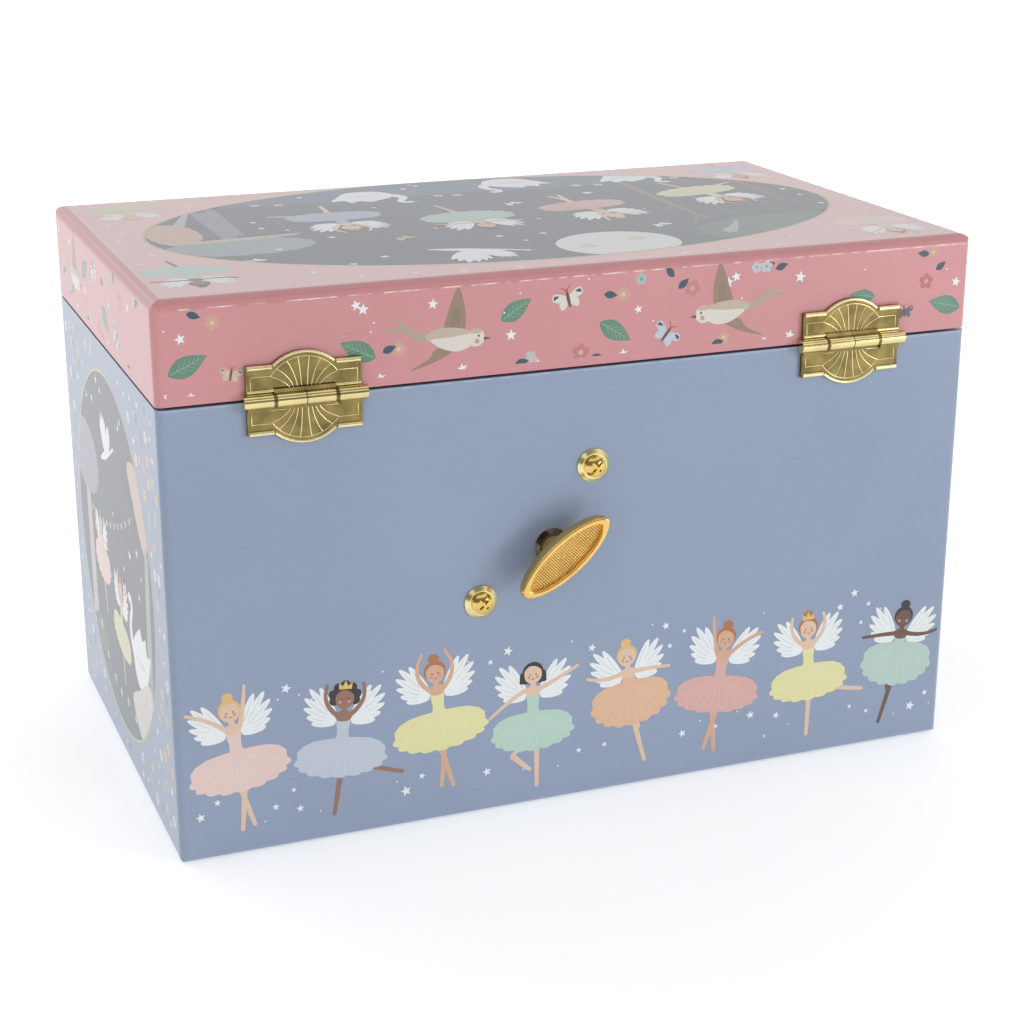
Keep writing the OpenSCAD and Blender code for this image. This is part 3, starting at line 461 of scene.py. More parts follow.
def skirt_outline(tall, wide, lift, lobes=9):
    """A net skirt from the side: a smooth top that falls from the waist, and a lobed hem."""
    points = [(1.4, 1.6), (3.4, 1.5), (6.0, 1.2), (8.0, 0.4), (9.2, -0.8)]
    for i in range(73):
        a = math.pi * i / 72
        lobe = 0.97 + 0.085 * abs(math.sin(lobes * a))
        points.append((9.4 * lobe * math.cos(a), -2.2 - 4.4 * tall * lobe * math.sin(a) ** 0.85))
    points += [(-9.2, -0.8), (-8.0, 0.4), (-6.0, 1.2), (-3.4, 1.5), (-1.4, 1.6)]
    return [(x * wide, y + lift) for x, y in points]


def blade(x, y, length, width, turn):
    """A leaf or feather from its root, pointed at the far end."""
    edge = [(length * t, width / 2 * math.sin(math.pi * t ** 0.8)) for t in (i / 16 for i in range(17))]
    place = placed(x, y, turn=turn)
    return [place(p) for p in edge + [(px, -py) for px, py in edge[15:0:-1]]]


# %% [markdown]
# Films of ink, pressed lines, cast plates and the figure's limbs all start as curves, because a curve takes
# a thickness or a round section by itself. Three helpers select pieces, make a curve through points and turn
# it into a mesh.

# %% Curves and selections
def select_only(*pieces):
    """Selects just these pieces, the first of them active."""
    bpy.ops.object.select_all(action="DESELECT")
    for piece in pieces:
        piece.select_set(True)
    bpy.context.view_layer.objects.active = pieces[0]


def curve_piece(name, outlines, kind="POLY", closed=False, **settings):
    """A curve object through one or more lists of points; settings are the curve's own."""
    curve = bpy.data.curves.new(name, "CURVE")
    for key, value in settings.items():
        setattr(curve, key, value)
    for outline in outlines:
        spline = curve.splines.new(kind)
        spline.points.add(len(outline) - 1)
        for point, place in zip(spline.points, outline):
            point.co = (*place, 1) if len(place) == 3 else (*place, 0, 1)
        spline.use_cyclic_u = closed
    piece = bpy.data.objects.new(name, curve)
    scene.collection.objects.link(piece)
    return piece


def as_mesh(piece, finish):
    """Turns a curve object into a smooth mesh in one finish."""
    select_only(piece)
    bpy.ops.object.convert(target="MESH")
    bpy.ops.object.transform_apply(location=True, rotation=False, scale=False)
    piece.data.materials.clear()
    piece.data.materials.append(finish)
    bpy.ops.object.shade_smooth()
    return piece


# %% [markdown]
# A panel collects the shapes of one face. Each shape becomes a filled curve, a film 0.01 mm thick, and the
# films of one colour are turned to mesh and joined, so a panel is one piece of each ink.

# %% Ink panels
INKS = {}
FILM = 0.01    # thickness of one film of ink, mm
STEP = 0.0015  # how much higher each film lies than those under it, mm
EDGE = 2.0     # unprinted margin along a panel's edges, mm


def ink(code):
    if code not in INKS:
        INKS[code] = printed_paper(f"ink_{code}", code, 0.03)
    return INKS[code]


def lightened(code, share=0.2):
    """The same ink let down with white."""
    return "".join(f"{round(int(code[i:i + 2], 16) * (1 - share) + 226 * share):02x}" for i in (0, 2, 4))


class Panel:
    """One printed face. right, up and out are its axes, corner is its lower left corner seen from outside."""

    def __init__(self, name, body, corner, right, up, out, size):
        self.name, self.body, self.size = name, body, size
        self.matrix = Matrix.Translation(Vector(corner) * MM) @ Matrix(
            (Vector(right), Vector(up), Vector(out))).transposed().to_4x4() @ Matrix.Scale(MM, 4)
        self.shapes = {}
        self.stack = []

    def lay(self, code, outline, place=None):
        """Adds one outline just above those it may cover. place moves it from its own axes to the panel's."""
        if place:
            outline = [place(p) for p in outline]
        outline = [(min(max(x, EDGE), self.size[0] - EDGE), min(max(y, EDGE), self.size[1] - EDGE))
                   for x, y in outline]
        x0, x1 = min(p[0] for p in outline), max(p[0] for p in outline)
        y0, y1 = min(p[1] for p in outline), max(p[1] for p in outline)
        under = [rise for a0, a1, b0, b1, rise in self.stack if a0 < x1 and x0 < a1 and b0 < y1 and y0 < b1]
        rise = max(under, default=FILM / 2) + STEP
        self.stack.append((x0, x1, y0, y1, rise))
        self.shapes.setdefault(code, []).append((outline, rise))

    def print(self):
        count = 0
        for code, shapes in self.shapes.items():
            made = []
            for outline, rise in shapes:
                film = curve_piece("film", [outline], closed=True, dimensions="2D", fill_mode="BOTH",
                                   extrude=FILM / 2)
                film.location.z = rise
                made.append(film)
            select_only(*made)
            bpy.ops.object.convert(target="MESH")
            bpy.ops.object.transform_apply(location=True, rotation=False, scale=False)
            made = list(bpy.context.selected_objects)
            bpy.context.view_layer.objects.active = made[0]
            if len(made) > 1:
                bpy.ops.object.join()
            piece = bpy.context.view_layer.objects.active
            piece.name = f"{self.name}_{code}"
            piece.data.transform(self.matrix)
            piece.data.materials.clear()
            piece.data.materials.append(ink(code))
            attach(piece, self.body)
            count += len(shapes)
        print(self.name, count, "shapes in", len(self.shapes), "inks, top film at",
              round(max(r[-1] for r in self.stack) + FILM / 2, 3), "mm")


HALF_W, HALF_D = WIDTH / 2, DEPTH / 2
EAST, NORTH, UP = (1, 0, 0), (0, 1, 0), (0, 0, 1)
WEST, SOUTH = (-1, 0, 0), (0, -1, 0)
RIM = LID_TOP - LID_LOW
back_panel = Panel("back_print", "case", (HALF_W, HALF_D, 0), WEST, UP, NORTH, (WIDTH, CASE_TOP))
right_panel = Panel("right_print", "case", (HALF_W, -HALF_D, 0), NORTH, UP, EAST, (DEPTH, CASE_TOP))
left_panel = Panel("left_print", "case", (-HALF_W, HALF_D, 0), SOUTH, UP, WEST, (DEPTH, CASE_TOP))
front_panel = Panel("front_print", "case", (-HALF_W, -HALF_D, 0), EAST, UP, SOUTH, (WIDTH, CASE_TOP))
drawer_panel = Panel("drawer_print", "drawer", (-HALF_W, -HALF_D, 0), EAST, UP, SOUTH, (WIDTH, CASE_TOP))
rim_back = Panel("lid_back_print", "lid", (HALF_W, HALF_D, LID_LOW), WEST, UP, NORTH, (WIDTH, RIM))
rim_right = Panel("lid_right_print", "lid", (HALF_W, -HALF_D, LID_LOW), NORTH, UP, EAST, (DEPTH, RIM))
rim_left = Panel("lid_left_print", "lid", (-HALF_W, HALF_D, LID_LOW), SOUTH, UP, WEST, (DEPTH, RIM))
rim_front = Panel("lid_front_print", "lid", (-HALF_W, -HALF_D, LID_LOW), EAST, UP, SOUTH, (WIDTH, RIM))
top_panel = Panel("top_print", "lid", (-HALF_W, -HALF_D, LID_TOP), EAST, NORTH, UP, (WIDTH, DEPTH))

# %% [markdown]
# Small motifs that the borders repeat: stars, dots, leaves with veins, five-petalled flowers and moths.

# %% Small motifs
WHITE, CREAM = "d8dcde", "cac5bd"
LEAF, LEAF_LINE, TEAL = "587f6c", "86a594", "2f4a5a"


def scatter(panel, stars, dots=()):
    for x, y, r in stars:
        panel.lay(WHITE, star(x, y, r, 90 + 17 * math.sin(x * 3 + y)))
    for x, y in dots:
        panel.lay(WHITE, oval(x, y, 0.22, count=10))


def leaf(panel, x, y, length, width, turn, code=LEAF, veins=True):
    panel.lay(code, blade(x, y, length, width, turn))
    if not veins:
        return
    place = placed(x, y, turn=turn)
    panel.lay(LEAF_LINE, stroke((0.6, 0), (length / 2, 0), (length * 0.92, 0), 0.09, 0.04), place)
    for i in range(1, 6):
        at = length * (0.1 + 0.13 * i)
        reach = width * 0.38 * math.sin(math.pi * (0.15 + 0.14 * i))
        for side in (-1, 1):
            panel.lay(LEAF_LINE, stroke((at, 0), (at + reach * 0.5, side * reach * 0.4),
                                        (at + reach * 1.1, side * reach), 0.06, 0.03, 4), place)


def flower(panel, x, y, r, code, heart):
    panel.lay(code, petals(x, y, r, 20 * x))
    panel.lay(heart, oval(x, y, r * 0.28, count=12))


def moth(panel, x, y, size, turn, wing, patch):
    place = placed(x, y, size, turn=turn)
    for side in (-1, 1):
        panel.lay(wing, smooth([(0, 0.3), (side * 2.4, 1.5), (side * 3.0, 0.3), (side * 1.4, -0.4)]), place)
        panel.lay(patch, smooth([(side * 1.6, 0.9), (side * 2.6, 1.1), (side * 2.7, 0.4)], 4), place)
        panel.lay(wing, smooth([(0, 0), (side * 1.9, -0.6), (side * 1.6, -1.9), (side * 0.5, -1.3)]), place)
        panel.lay("6b3b3f", stroke((0, 1.4), (side * 0.5, 2.1), (side * 1.0, 2.3), 0.08, 0.05, 4), place)
    panel.lay("6b3b3f", oval(0, -0.1, 0.32, 1.7, count=14), place)


# %% [markdown]
# The birds of the rim are this box's own: a forked tail, two long wings, a pale belly and a round head.

# %% Birds
def rim_bird(panel, x, y, size, flip=1):
    place = placed(x, y, size, flip)
    panel.lay("a69483", smooth([(-9.6, 5.6), (-6, 2.6), (-3.2, 1.6), (-2.2, 0.4), (-4.4, 0.3), (-8, 2.2),
                                (-12, 2.6), (-8.2, 3.4)]), place)
    panel.lay("8a7663", smooth([(-0.4, 1.6), (0.2, 4.8), (1.9, 8.8), (2.9, 6.8), (3.3, 3.4), (2.6, 1.0)]),
              place)
    panel.lay("8a7663", smooth([(1.6, -1.0), (-1.6, -3.0), (-6.4, -4.3), (-3.2, -2.6), (-1.8, -1.0)]), place)
    for i in range(4):
        panel.lay("736150", stroke((0.5 + 0.5 * i, 2.2), (0.9 + 0.4 * i, 4.0), (1.6 + 0.2 * i, 6.0 - 0.3 * i),
                                   0.07, 0.04, 4), place)
    panel.lay("b3a493", smooth([(-3.8, 1.1), (-1.6, 2.3), (1.8, 2.2), (4.2, 1.4), (4.6, 0.2), (2.2, -0.8),
                                (-1.4, -0.4)]), place)
    panel.lay(CREAM, smooth([(-2.8, 0.5), (0.6, 0.7), (4.0, 0.9), (4.6, -0.6), (2.2, -1.7), (-0.6, -1.2)]),
              place)
    panel.lay(CREAM, oval(5.0, 0.3, 1.55, count=20), place)
    panel.lay("b3a493", smooth([(3.8, 1.2), (4.6, 1.9), (5.8, 1.7), (5.9, 1.0), (4.8, 1.0)]), place)
    panel.lay("5a4038", [(6.4, 0.3), (7.7, 0.0), (6.4, -0.25)], place)
    panel.lay("b88887", oval(5.2, -0.35, 0.42, count=12), place)
    panel.lay("3a2c2a", oval(5.5, 0.55, 0.2, count=10), place)


# %% [markdown]
# One dancer, drawn once with everything that varies as a parameter. From back to front: wings of slender
# feathers, legs, a scalloped skirt with fine folds, bodice, arms, hair as a bun, a bob or curls, and a plain
# face. All sizes are shares of one unit, 1 mm at size 1, with the waist at the origin.

# %% The printed dancer
def wings(panel, place, code=WHITE):
    """Two wings of slender feathers, the upper ones longest, each with a grey quill."""
    for side in (-1, 1):
        for angle, length in [(2, 4.6), (14, 5.8), (26, 7.0), (38, 8.0), (50, 8.6), (61, 7.6)]:
            turn = angle if side > 0 else 180 - angle
            c, s = math.cos(math.radians(turn)), math.sin(math.radians(turn))
            root = side * 0.9
            mid = length / 2 + 0.6
            panel.lay(code, oval(root + mid * c, 4.6 + mid * s, length / 2, 0.74, turn, 20), place)
            panel.lay("a3acb4", stroke((root + 2.6 * c, 4.6 + 2.6 * s),
                                       (root + mid * c - 0.3 * s, 4.6 + mid * s + 0.3 * c),
                                       (root + length * 0.9 * c, 4.6 + length * 0.9 * s), 0.05, 0.03, 4), place)


ARMS = {
    "high": [((1.5, 6.2), (5.0, 9.5), (2.2, 13.6)), ((-1.5, 6.2), (-5.0, 9.5), (-2.2, 13.6))],
    "wide": [((1.5, 6.2), (5.0, 7.6), (9.2, 9.8)), ((-1.5, 6.2), (-5.0, 4.6), (-8.8, 1.4))],
    "round": [((1.4, 6.2), (4.6, 8.8), (3.4, 12.2)), ((-1.4, 6.2), (-4.6, 8.8), (-3.4, 12.2))],
    "open": [((1.5, 6.0), (5.0, 5.8), (8.8, 5.2)), ((-1.5, 6.0), (-5.4, 5.2), (-8.6, 6.8))],
    "diagonal": [((1.4, 6.2), (4.0, 9.0), (8.0, 10.8)), ((-1.4, 6.2), (-2.6, 9.6), (-3.4, 13.8))],
}
LEGS = {
    "crossed": [[((-0.9, -3), (0.2, -8.6), (1.4, -14.4))], [((0.9, -3), (0.0, -8.6), (-1.0, -14.0))]],
    "arabesque": [[((0.2, -3), (-0.1, -8), (-0.6, -13.8))], [((0.8, -3), (6.0, -4.8), (12.2, -6.2))]],
    "passe": [[((0.8, -3), (0.8, -8), (0.8, -14.0))],
              [((-0.8, -3), (-2.4, -5.0), (-4.2, -7.0)), ((-4.2, -7.0), (-2.4, -8.8), (-0.6, -10.4))]],
    "one": [[((0.2, -3), (0.8, -8), (1.8, -13.4))], [((0.6, -3), (0.9, -5), (1.2, -6))]],
}


def dancer(panel, x, y, size, skirt, skin, hair, arms, legs, flip=1, tilt=0, tall=1.0, crown=False,
           style="bun", wide=1.0):
    place = placed(x, y, size, flip, tilt)
    lift = 2.6 if tall > 1.2 else 0.0
    wings(panel, place)
    for bends in LEGS[legs]:
        for start, bend, end in bends:
            panel.lay(skin, stroke(start, bend, end, 0.6, 0.4), place)
    panel.lay(skirt, skirt_outline(tall, wide, lift), place)
    for i in range(12):
        a = math.pi * (i + 0.5) / 12
        inner = (1.6 * wide * math.cos(a), lift + 0.4 - 0.5 * math.sin(a))
        outer = (7.9 * wide * math.cos(a), lift - 2.2 - 3.4 * tall * math.sin(a))
        middle = ((inner[0] + outer[0]) / 2, (inner[1] + outer[1]) / 2 + 0.6)
        panel.lay(lightened(skirt), stroke(inner, middle, outer, 0.04, 0.09, 5), place)
    panel.lay(skirt, smooth([(-1.35, 5.2), (-0.5, 4.9), (0.5, 4.9), (1.35, 5.2), (1.1, 2.6), (1.5, 0.6),
                              (0, 0.2), (-1.5, 0.6), (-1.1, 2.6)], 4), place)
    panel.lay(skin, smooth([(-1.7, 6.4), (0, 7.0), (1.7, 6.4), (1.3, 5.2), (0.5, 4.85), (-0.5, 4.85),
                            (-1.3, 5.2)], 4), place)
    panel.lay(skin, stroke((0, 6.2), (0, 7.0), (0, 7.8), 0.55, 0.5, 3), place)
    for start, bend, end in ARMS[arms]:
        panel.lay(skin, stroke(start, bend, end, 0.48, 0.3), place)
    panel.lay(hair, oval(0, 9.7, 2.15, 2.1, count=24), place)
    if style == "bun":
        panel.lay(hair, oval(0, 12.2, 1.1, 0.95, count=18), place)
    elif style == "bob":
        panel.lay(hair, smooth([(-2.1, 10.0), (-2.7, 8.2), (-2.2, 7.5), (2.2, 7.5), (2.7, 8.2),
                                (2.1, 10.0)], 4), place)
    else:
        for curl in [(-2.0, 9.0), (-2.2, 10.2), (-1.3, 11.5), (0, 12.0), (1.3, 11.5), (2.2, 10.2), (2.0, 9.0)]:
            panel.lay(hair, oval(*curl, 0.95, count=14), place)
    panel.lay(skin, smooth([(-1.75, 9.7), (-1.45, 8.1), (0, 7.3), (1.45, 8.1), (1.75, 9.7), (0.9, 10.7),
                            (-0.5, 11.0), (-1.3, 10.5)], 4), place)
    if crown:
        panel.lay("cfae66", [(-1.2, 11.2), (-1.3, 12.5), (-0.5, 11.8), (0, 12.9), (0.5, 11.8), (1.3, 12.5),
                             (1.2, 11.2)], place)
    for side in (-1, 1):
        panel.lay("ba8883", oval(side * 0.85, 8.7, 0.32, count=10), place)
        panel.lay("4a3230", oval(side * 0.6, 9.25, 0.16, count=8), place)
    panel.lay("985a59", oval(0, 8.3, 0.28, 0.13, count=8), place)


PINK, LILAC, YELLOW, MINT = "d3bab4", "b1b8c6", "d2ce9a", "a8c2b5"
PEACH, ROSE, AQUA = "cfa88a", "c99f98", "a6beb6"
FAIR, WARM, BROWN, DEEP = "cfb39d", "c59d83", "8a6656", "64483e"
BLONDE, GINGER, BLACK = "cdaa72", "a3683f", "2f2628"

# %% [markdown]
# The back: a row of eight dancers along the foot of the blue panel, among stars.

# %% Back panel
FRIEZE = [
    # across, up, skirt, skin, hair, arms, legs, flip, tilt, tall, wide, crown
    (14.2, 23.4, PINK, FAIR, BLONDE, "diagonal", "crossed", -1, 7, 1.0, 0.98, False),
    (38.8, 22.4, LILAC, BROWN, BLACK, "round", "arabesque", 1, -5, 0.92, 0.92, True),
    (62.8, 25.3, YELLOW, WARM, GINGER, "high", "crossed", 1, 5, 0.95, 0.98, False),
    (86.4, 21.2, MINT, FAIR, BLACK, "wide", "passe", 1, 0, 0.95, 0.88, False),
    (112.0, 22.0, PEACH, FAIR, BLONDE, "open", "one", 1, 6, 1.25, 0.87, False),
    (135.8, 22.8, ROSE, WARM, GINGER, "diagonal", "crossed", 1, -8, 0.9, 0.96, False),
    (161.0, 22.0, YELLOW, FAIR, GINGER, "round", "arabesque", 1, 3, 0.88, 0.9, True),
    (186.4, 21.0, AQUA, DEEP, BLACK, "open", "one", -1, -7, 1.25, 0.85, False),
]
for across, up, skirt, skin, hair, arms, legs, flip, tilt, tall, wide, crown in FRIEZE:
    style = "curls" if crown and hair == BLACK else ("bob" if legs == "passe" else "bun")
    dancer(back_panel, across, up + 1.2, 1.26, skirt, skin, hair, arms, legs, flip, tilt, tall, crown,
           style, wide)
scatter(back_panel,
        [(26, 40, 1.3), (9, 14.3, 0.9), (5, 11.2, 1.2), (22.6, 10.8, 0.9), (28.4, 9.4, 1.0), (27, 14.4, 0.7),
         (54.2, 9.2, 1.4), (58.2, 12.4, 0.9), (80, 41, 1.3), (75.6, 38.8, 0.8), (74.6, 10.6, 1.2),
         (101.6, 38.6, 1.1), (98.4, 12.2, 0.8), (105.2, 12.6, 0.8), (121, 41.4, 1.1), (122.2, 36, 0.8),
         (126, 39.4, 0.7), (126.2, 12, 1.1), (135.4, 12.4, 0.7), (145, 13.9, 1.2), (152.3, 12.6, 1.0),
         (169.2, 39.4, 1.1), (173.1, 42.6, 1.2), (177.3, 39.2, 0.8), (175.4, 34.4, 0.7), (173.4, 11.6, 0.7),
         (178.4, 9.6, 0.7), (191.4, 8.9, 1.4), (195.6, 12, 0.9), (149.2, 7.4, 0.5)],
        [(29, 38), (32, 36.5), (24, 37.6), (20, 7.6), (46, 36), (52, 12), (84, 9.6), (96.4, 41), (78, 36.4),
         (93, 9), (117.4, 42.2), (129, 37), (131, 14.6), (141.2, 15.4), (156, 9.6), (147.6, 41), (181, 37.4),
         (166, 37), (186.6, 7.4), (197, 8.8), (33.2, 7.8), (70, 39.8), (49, 40.6)])

# %% [markdown]
# The rim of the lid carries birds, moths, leaves and flowers on pink, the same on all four sides.

# %% Lid rims
def rim_garland(panel, start, flip=1):
    """About 96 mm of border, from start along the panel."""
    at = lambda x: start + (x if flip > 0 else 96 - x)
    face = 1 if flip > 0 else -1
    rim_bird(panel, at(13.6), 8.6, 1.36, face)
    leaf(panel, at(26.4 if flip > 0 else 34.4), 12.2, 8.6, 4.2, 32)
    leaf(panel, at(50.4 if flip > 0 else 60), 9.8 if flip > 0 else 5.4, 9.2, 4.4, -32 if flip > 0 else 148)
    moth(panel, at(42.6), 16.0, 1.25, 14 * face, CREAM, TEAL)
    moth(panel, at(67.2), 5.6, 1.2, -38 * face, LILAC, TEAL)
    for x, y, r, code, heart in [(2.4, 8.0, 1.7, "bc9784", "c9b29c"), (33.6, 3.2, 1.6, "acaeb4", "c0ac8a"),
                                 (45.8, 3.2, 2.2, "b0726f", "c29e94"), (56.2, 15.8, 1.8, "ba9681", "c7b29a"),
                                 (60.6, 19.0, 1.5, "98aea8", "6b8b83"), (73.6, 15.8, 2.1, "b37776", "c19790"),
                                 (90.0, 19.4, 1.4, "b1b4b8", "8c979a"), (82.0, 3.4, 1.5, "bc9784", "c9b29c")]:
        flower(panel, at(x), y, r, code, heart)
    for x, y, turn in [(-1.4, 7.6, 20), (29.8, 2.0, 10), (51.4, 16.2, -8), (68.8, 18.8, 128),
                       (91.6, 19.0, 20), (48.6, 2.2, -20), (78.8, 1.9, 14)]:
        leaf(panel, at(x), y, 3.4, 1.7, turn if flip > 0 else 180 - turn, TEAL, False)
    stars = [(-5.6, 17.6, 1.4), (10.4, 17.4, 1.3), (28.8, 8.8, 1.4), (17.2, 2.2, 1.3), (56.4, 1.9, 1.3),
             (60, 12.0, 1.1), (35.2, 1.8, 1.0), (82.8, 16.4, 1.4), (92.6, 1.9, 0.9), (-2.2, 1.6, 1.1)]
    dots = [(-4, 12.4), (27.2, 14), (31, 18.2), (63.8, 9.0), (47.6, 20), (86.4, 12.4)]
    scatter(panel, [(at(x), y, r) for x, y, r in stars], [(at(x), y) for x, y in dots])


rim_garland(rim_back, 52, 1)
rim_garland(rim_front, 6, 1)
rim_garland(rim_front, 98, -1)
rim_garland(rim_right, 10, 1)
rim_garland(rim_left, 12, -1)
rim_bird(rim_back, 135.4, 9.0, 1.36, -1)
leaf(rim_back, 3, 6.8, 9.4, 4.6, 24)
leaf(rim_back, 49, 6.4, 9.0, 4.6, 152)
leaf(rim_back, 198, 5.2, 9.2, 4.6, 166)
leaf(rim_back, 174, 9.8, 7.0, 3.2, 172)
moth(rim_back, 16.6, 6.0, 0.85, -12, "c0ad97", "77815f")
moth(rim_back, 182.4, 5.4, 0.85, 6, "535d65", "a17d7c")
flower(rim_back, 13.0, 17.6, 1.7, "bc9784", "c9b29c")
flower(rim_back, 188.0, 12.4, 2.0, "ae6866", "c0948d")
flower(rim_back, 189.6, 19.4, 1.5, "b6927e", "c6b299")
leaf(rim_back, 7.6, 20.0, 3.2, 1.6, -20, TEAL, False)
leaf(rim_back, 190.6, 15.0, 3.2, 1.7, 36, TEAL, False)
leaf(rim_back, 188.4, 19.0, 3.2, 1.6, 172, TEAL, False)
scatter(rim_back, [(6.0, 14.6, 1.3), (1.9, 2.4, 0.9), (7.8, 1.9, 1.0), (50.2, 1.8, 1.3), (196.4, 11.6, 1.3),
                   (136.8, 17.6, 1.3), (153.6, 16.2, 1.5), (151.4, 2.4, 1.4), (44.8, 18.6, 1.3)],
        [(193.6, 15.0), (2.6, 16.6), (48.8, 14.4), (171, 16.6), (160, 6)])
for x, y, turn in [(147.0, 18.6, 18), (122, 16, 40)]:
    leaf(rim_back, x, y, 3.4, 1.7, turn, TEAL, False)
flower(rim_back, 144.6, 19.4, 1.6, "b1b4b8", "8c979a")

# %% [markdown]
# Night pictures. The top shows a lake in a wood and the sides a clearing, each inside a thin gold line. They
# are this box's own scenes: swans, trees as soft clouds of colour on straight trunks, a plain white moon.

# %% Motifs of the night pictures
NIGHT, WATER, GOLD = "39414f", "475973", "b3a27b"


def swimming_swan(panel, x, y, size, flip=1):
    place = placed(x, y, size, flip)
    panel.lay(WHITE, smooth([(-6.6, 0.8), (-8.4, 4.2), (-5.8, 3.8), (-5.0, 6.2), (-2.6, 5.2), (-1.0, 6.6),
                             (1.6, 5.2), (4.4, 3.0), (5.4, -0.8), (2.6, -4.2), (-3.2, -4.0)]), place)
    panel.lay(WHITE, stroke((3.8, 0.2), (8.6, 3.2), (5.0, 7.4), 1.35, 0.7, 10), place)
    panel.lay(WHITE, stroke((5.0, 7.2), (4.4, 9.8), (6.8, 9.4), 0.72, 0.85, 8), place)
    panel.lay("b88d6a", [(7.0, 9.9), (8.8, 9.0), (7.0, 8.8)], place)
    for i in range(4):
        panel.lay("b3b9be", stroke((-4.4 + i, 0.4 - 0.2 * i), (-2 + i, 1.2), (0.4 + i, 0.2), 0.1, 0.05, 4),
                  place)


def flying_swan(panel, x, y, size, flip=1):
    place = placed(x, y, size, flip)
    panel.lay(WHITE, smooth([(-6.4, -3.0), (-3.0, -2.6), (1.6, -1.2), (4.0, 0.6), (1.6, 0.8), (-2.4, -0.6)]),
              place)
    panel.lay(WHITE, stroke((3.0, 0.2), (6.0, 1.4), (9.4, 3.2), 0.6, 0.34, 8), place)
    panel.lay(WHITE, oval(9.7, 3.4, 0.75, 0.5, 25, 14), place)
    for i in range(6):
        panel.lay(WHITE, blade(-0.6 + 0.4 * i, -0.6, 11.0 - 0.7 * abs(i - 3), 2.9, 74 + 12 * i), place)
    for i in range(5):
        panel.lay(WHITE, blade(0.8 + 0.4 * i, -0.2, 9.6 - 0.8 * abs(i - 2), 2.7, 38 + 10 * i), place)
    panel.lay("b88d6a", [(10.3, 3.8), (11.8, 4.2), (10.4, 3.2)], place)


def cloud_tree(panel, x, y, rx, ry, code, trunk, foot, width, speck):
    panel.lay(trunk, [(x - width * 0.5, y), (x + width * 0.5, y), (x + width * 0.8, foot),
                      (x - width * 0.8, foot)])
    panel.lay(code, scalloped(x, y, rx, ry, 17, 0.04))
    chance = random.Random(round(x * 10 + y))
    for _ in range(18):
        a, k = chance.uniform(0, 2 * math.pi), chance.uniform(0.2, 0.85)
        panel.lay(speck, blade(x + rx * k * math.cos(a), y + ry * k * math.sin(a), 1.5, 0.5,
                               chance.uniform(0, 180)))


def bare_tree(panel, x, low, high, code):
    panel.lay(code, stroke((x, low), (x + 1, (low + high) / 2), (x + 0.4, high), 1.3, 0.8))
    for reach, rise, turn in [(9, 0.62, 1), (-8, 0.7, -1), (6, 0.86, 1), (-5, 0.9, -1)]:
        at = low + (high - low) * rise
        panel.lay(code, stroke((x + 0.6, at), (x + reach * 0.4, at + 5), (x + reach, at + 11), 0.6, 0.2, 6))


def lantern_string(panel, start, dip, end, lights):
    panel.lay("757268", stroke(start, dip, end, 0.1, 0.1, 14))
    a, b, c = Vector(start), Vector(dip), Vector(end)
    for i in range(lights):
        t = (i + 0.5) / lights
        p = a * (1 - t) ** 2 + b * 2 * t * (1 - t) + c * t * t
        panel.lay("ccc299", oval(p.x, p.y - 0.7, 0.72, 0.82, count=14))


# %% [markdown]
# The top: inside the oval the scene stands upright for someone in front of the box, so from behind it is
# upside down. The corners hold four more dancers.

# %% Top of the lid
OVAL = (97.9, 55.0, 90.1, 53.4)  # middle and half sizes, mm


def within(p, x, y, rx, ry):
    """Pulls a point that lies past an oval back onto its edge."""
    k = math.hypot((p[0] - x) / rx, (p[1] - y) / ry)
    return (x + (p[0] - x) / k, y + (p[1] - y) / k) if k > 1 else p


class Window:
    """A panel seen through an opening. pull carries each point to its place inside it."""

    def __init__(self, panel, pull):
        self.panel, self.pull = panel, pull

    def lay(self, code, outline, place=None):
        if place:
            outline = [place(p) for p in outline]
        self.panel.lay(code, [self.pull(p) for p in outline])


window = Window(top_panel, lambda p: within(p, *OVAL[:2], OVAL[2] - 0.9, OVAL[3] - 0.9))
top_panel.lay("d2abab", [(2.6, 2.6), (WIDTH - 2.6, 2.6), (WIDTH - 2.6, DEPTH - 2.6), (2.6, DEPTH - 2.6)])
top_panel.lay(GOLD, oval(*OVAL, count=120))
top_panel.lay(NIGHT, oval(*OVAL[:2], OVAL[2] - 0.8, OVAL[3] - 0.8, count=120))
window.lay(WATER, [(x, 2) for x in range(20, 182, 6)] + [(x, 22 + 1.6 * math.sin(x / 9)) for x in
                                                         range(182, 14, -4)])
for x, y in [(28, 21), (33, 20.5), (57, 23), (63, 22), (98, 24), (103, 22.8), (146, 21), (152, 19.6),
             (166, 19.2)]:
    flower(window, x, y, 1.5, "c0b5ac", "ae866e")
leaf(window, 126, 23.6, 4, 1.4, 60, "64788c", False)
cloud_tree(window, 180, 50, 6.6, 13.4, "ba9687", "9ea3a2", 22, 4.6, "c4a99a")
window.lay("767388", [(163, 20), (167.4, 20), (166.6, 56), (163.8, 56)])
cloud_tree(window, 168, 69, 18, 10, "7e8c90", "767388", 24, 3.6, "94a0a1")
window.lay("b39f93", smooth([(152, 58), (166, 59), (180, 60), (178, 62.5), (164, 61.5), (153, 60)]))
cloud_tree(window, 30, 93, 30, 16, "46615a", "624f46", 80, 0.5, "5a776d")
bare_tree(window, 50, 22, 78, "705b51")
bare_tree(window, 19, 25, 76, "624f46")
for x, low, high in [(41, 48, 80), (27, 52, 76), (152, 40, 50)]:
    window.lay("7c8289", stroke((x, low), (x + 0.6, (low + high) / 2), (x, high), 0.14, 0.14))
swimming_swan(window, 121, 16.4, 1.3, -1)
swimming_swan(window, 79, 11.0, 1.3, 1)
swimming_swan(window, 45, 14.4, 1.15, -1)
flying_swan(window, 120, 92, 1.35, -1)
window.lay("cccdcc", oval(83.6, 96.7, 15.2, 13.4, count=60))
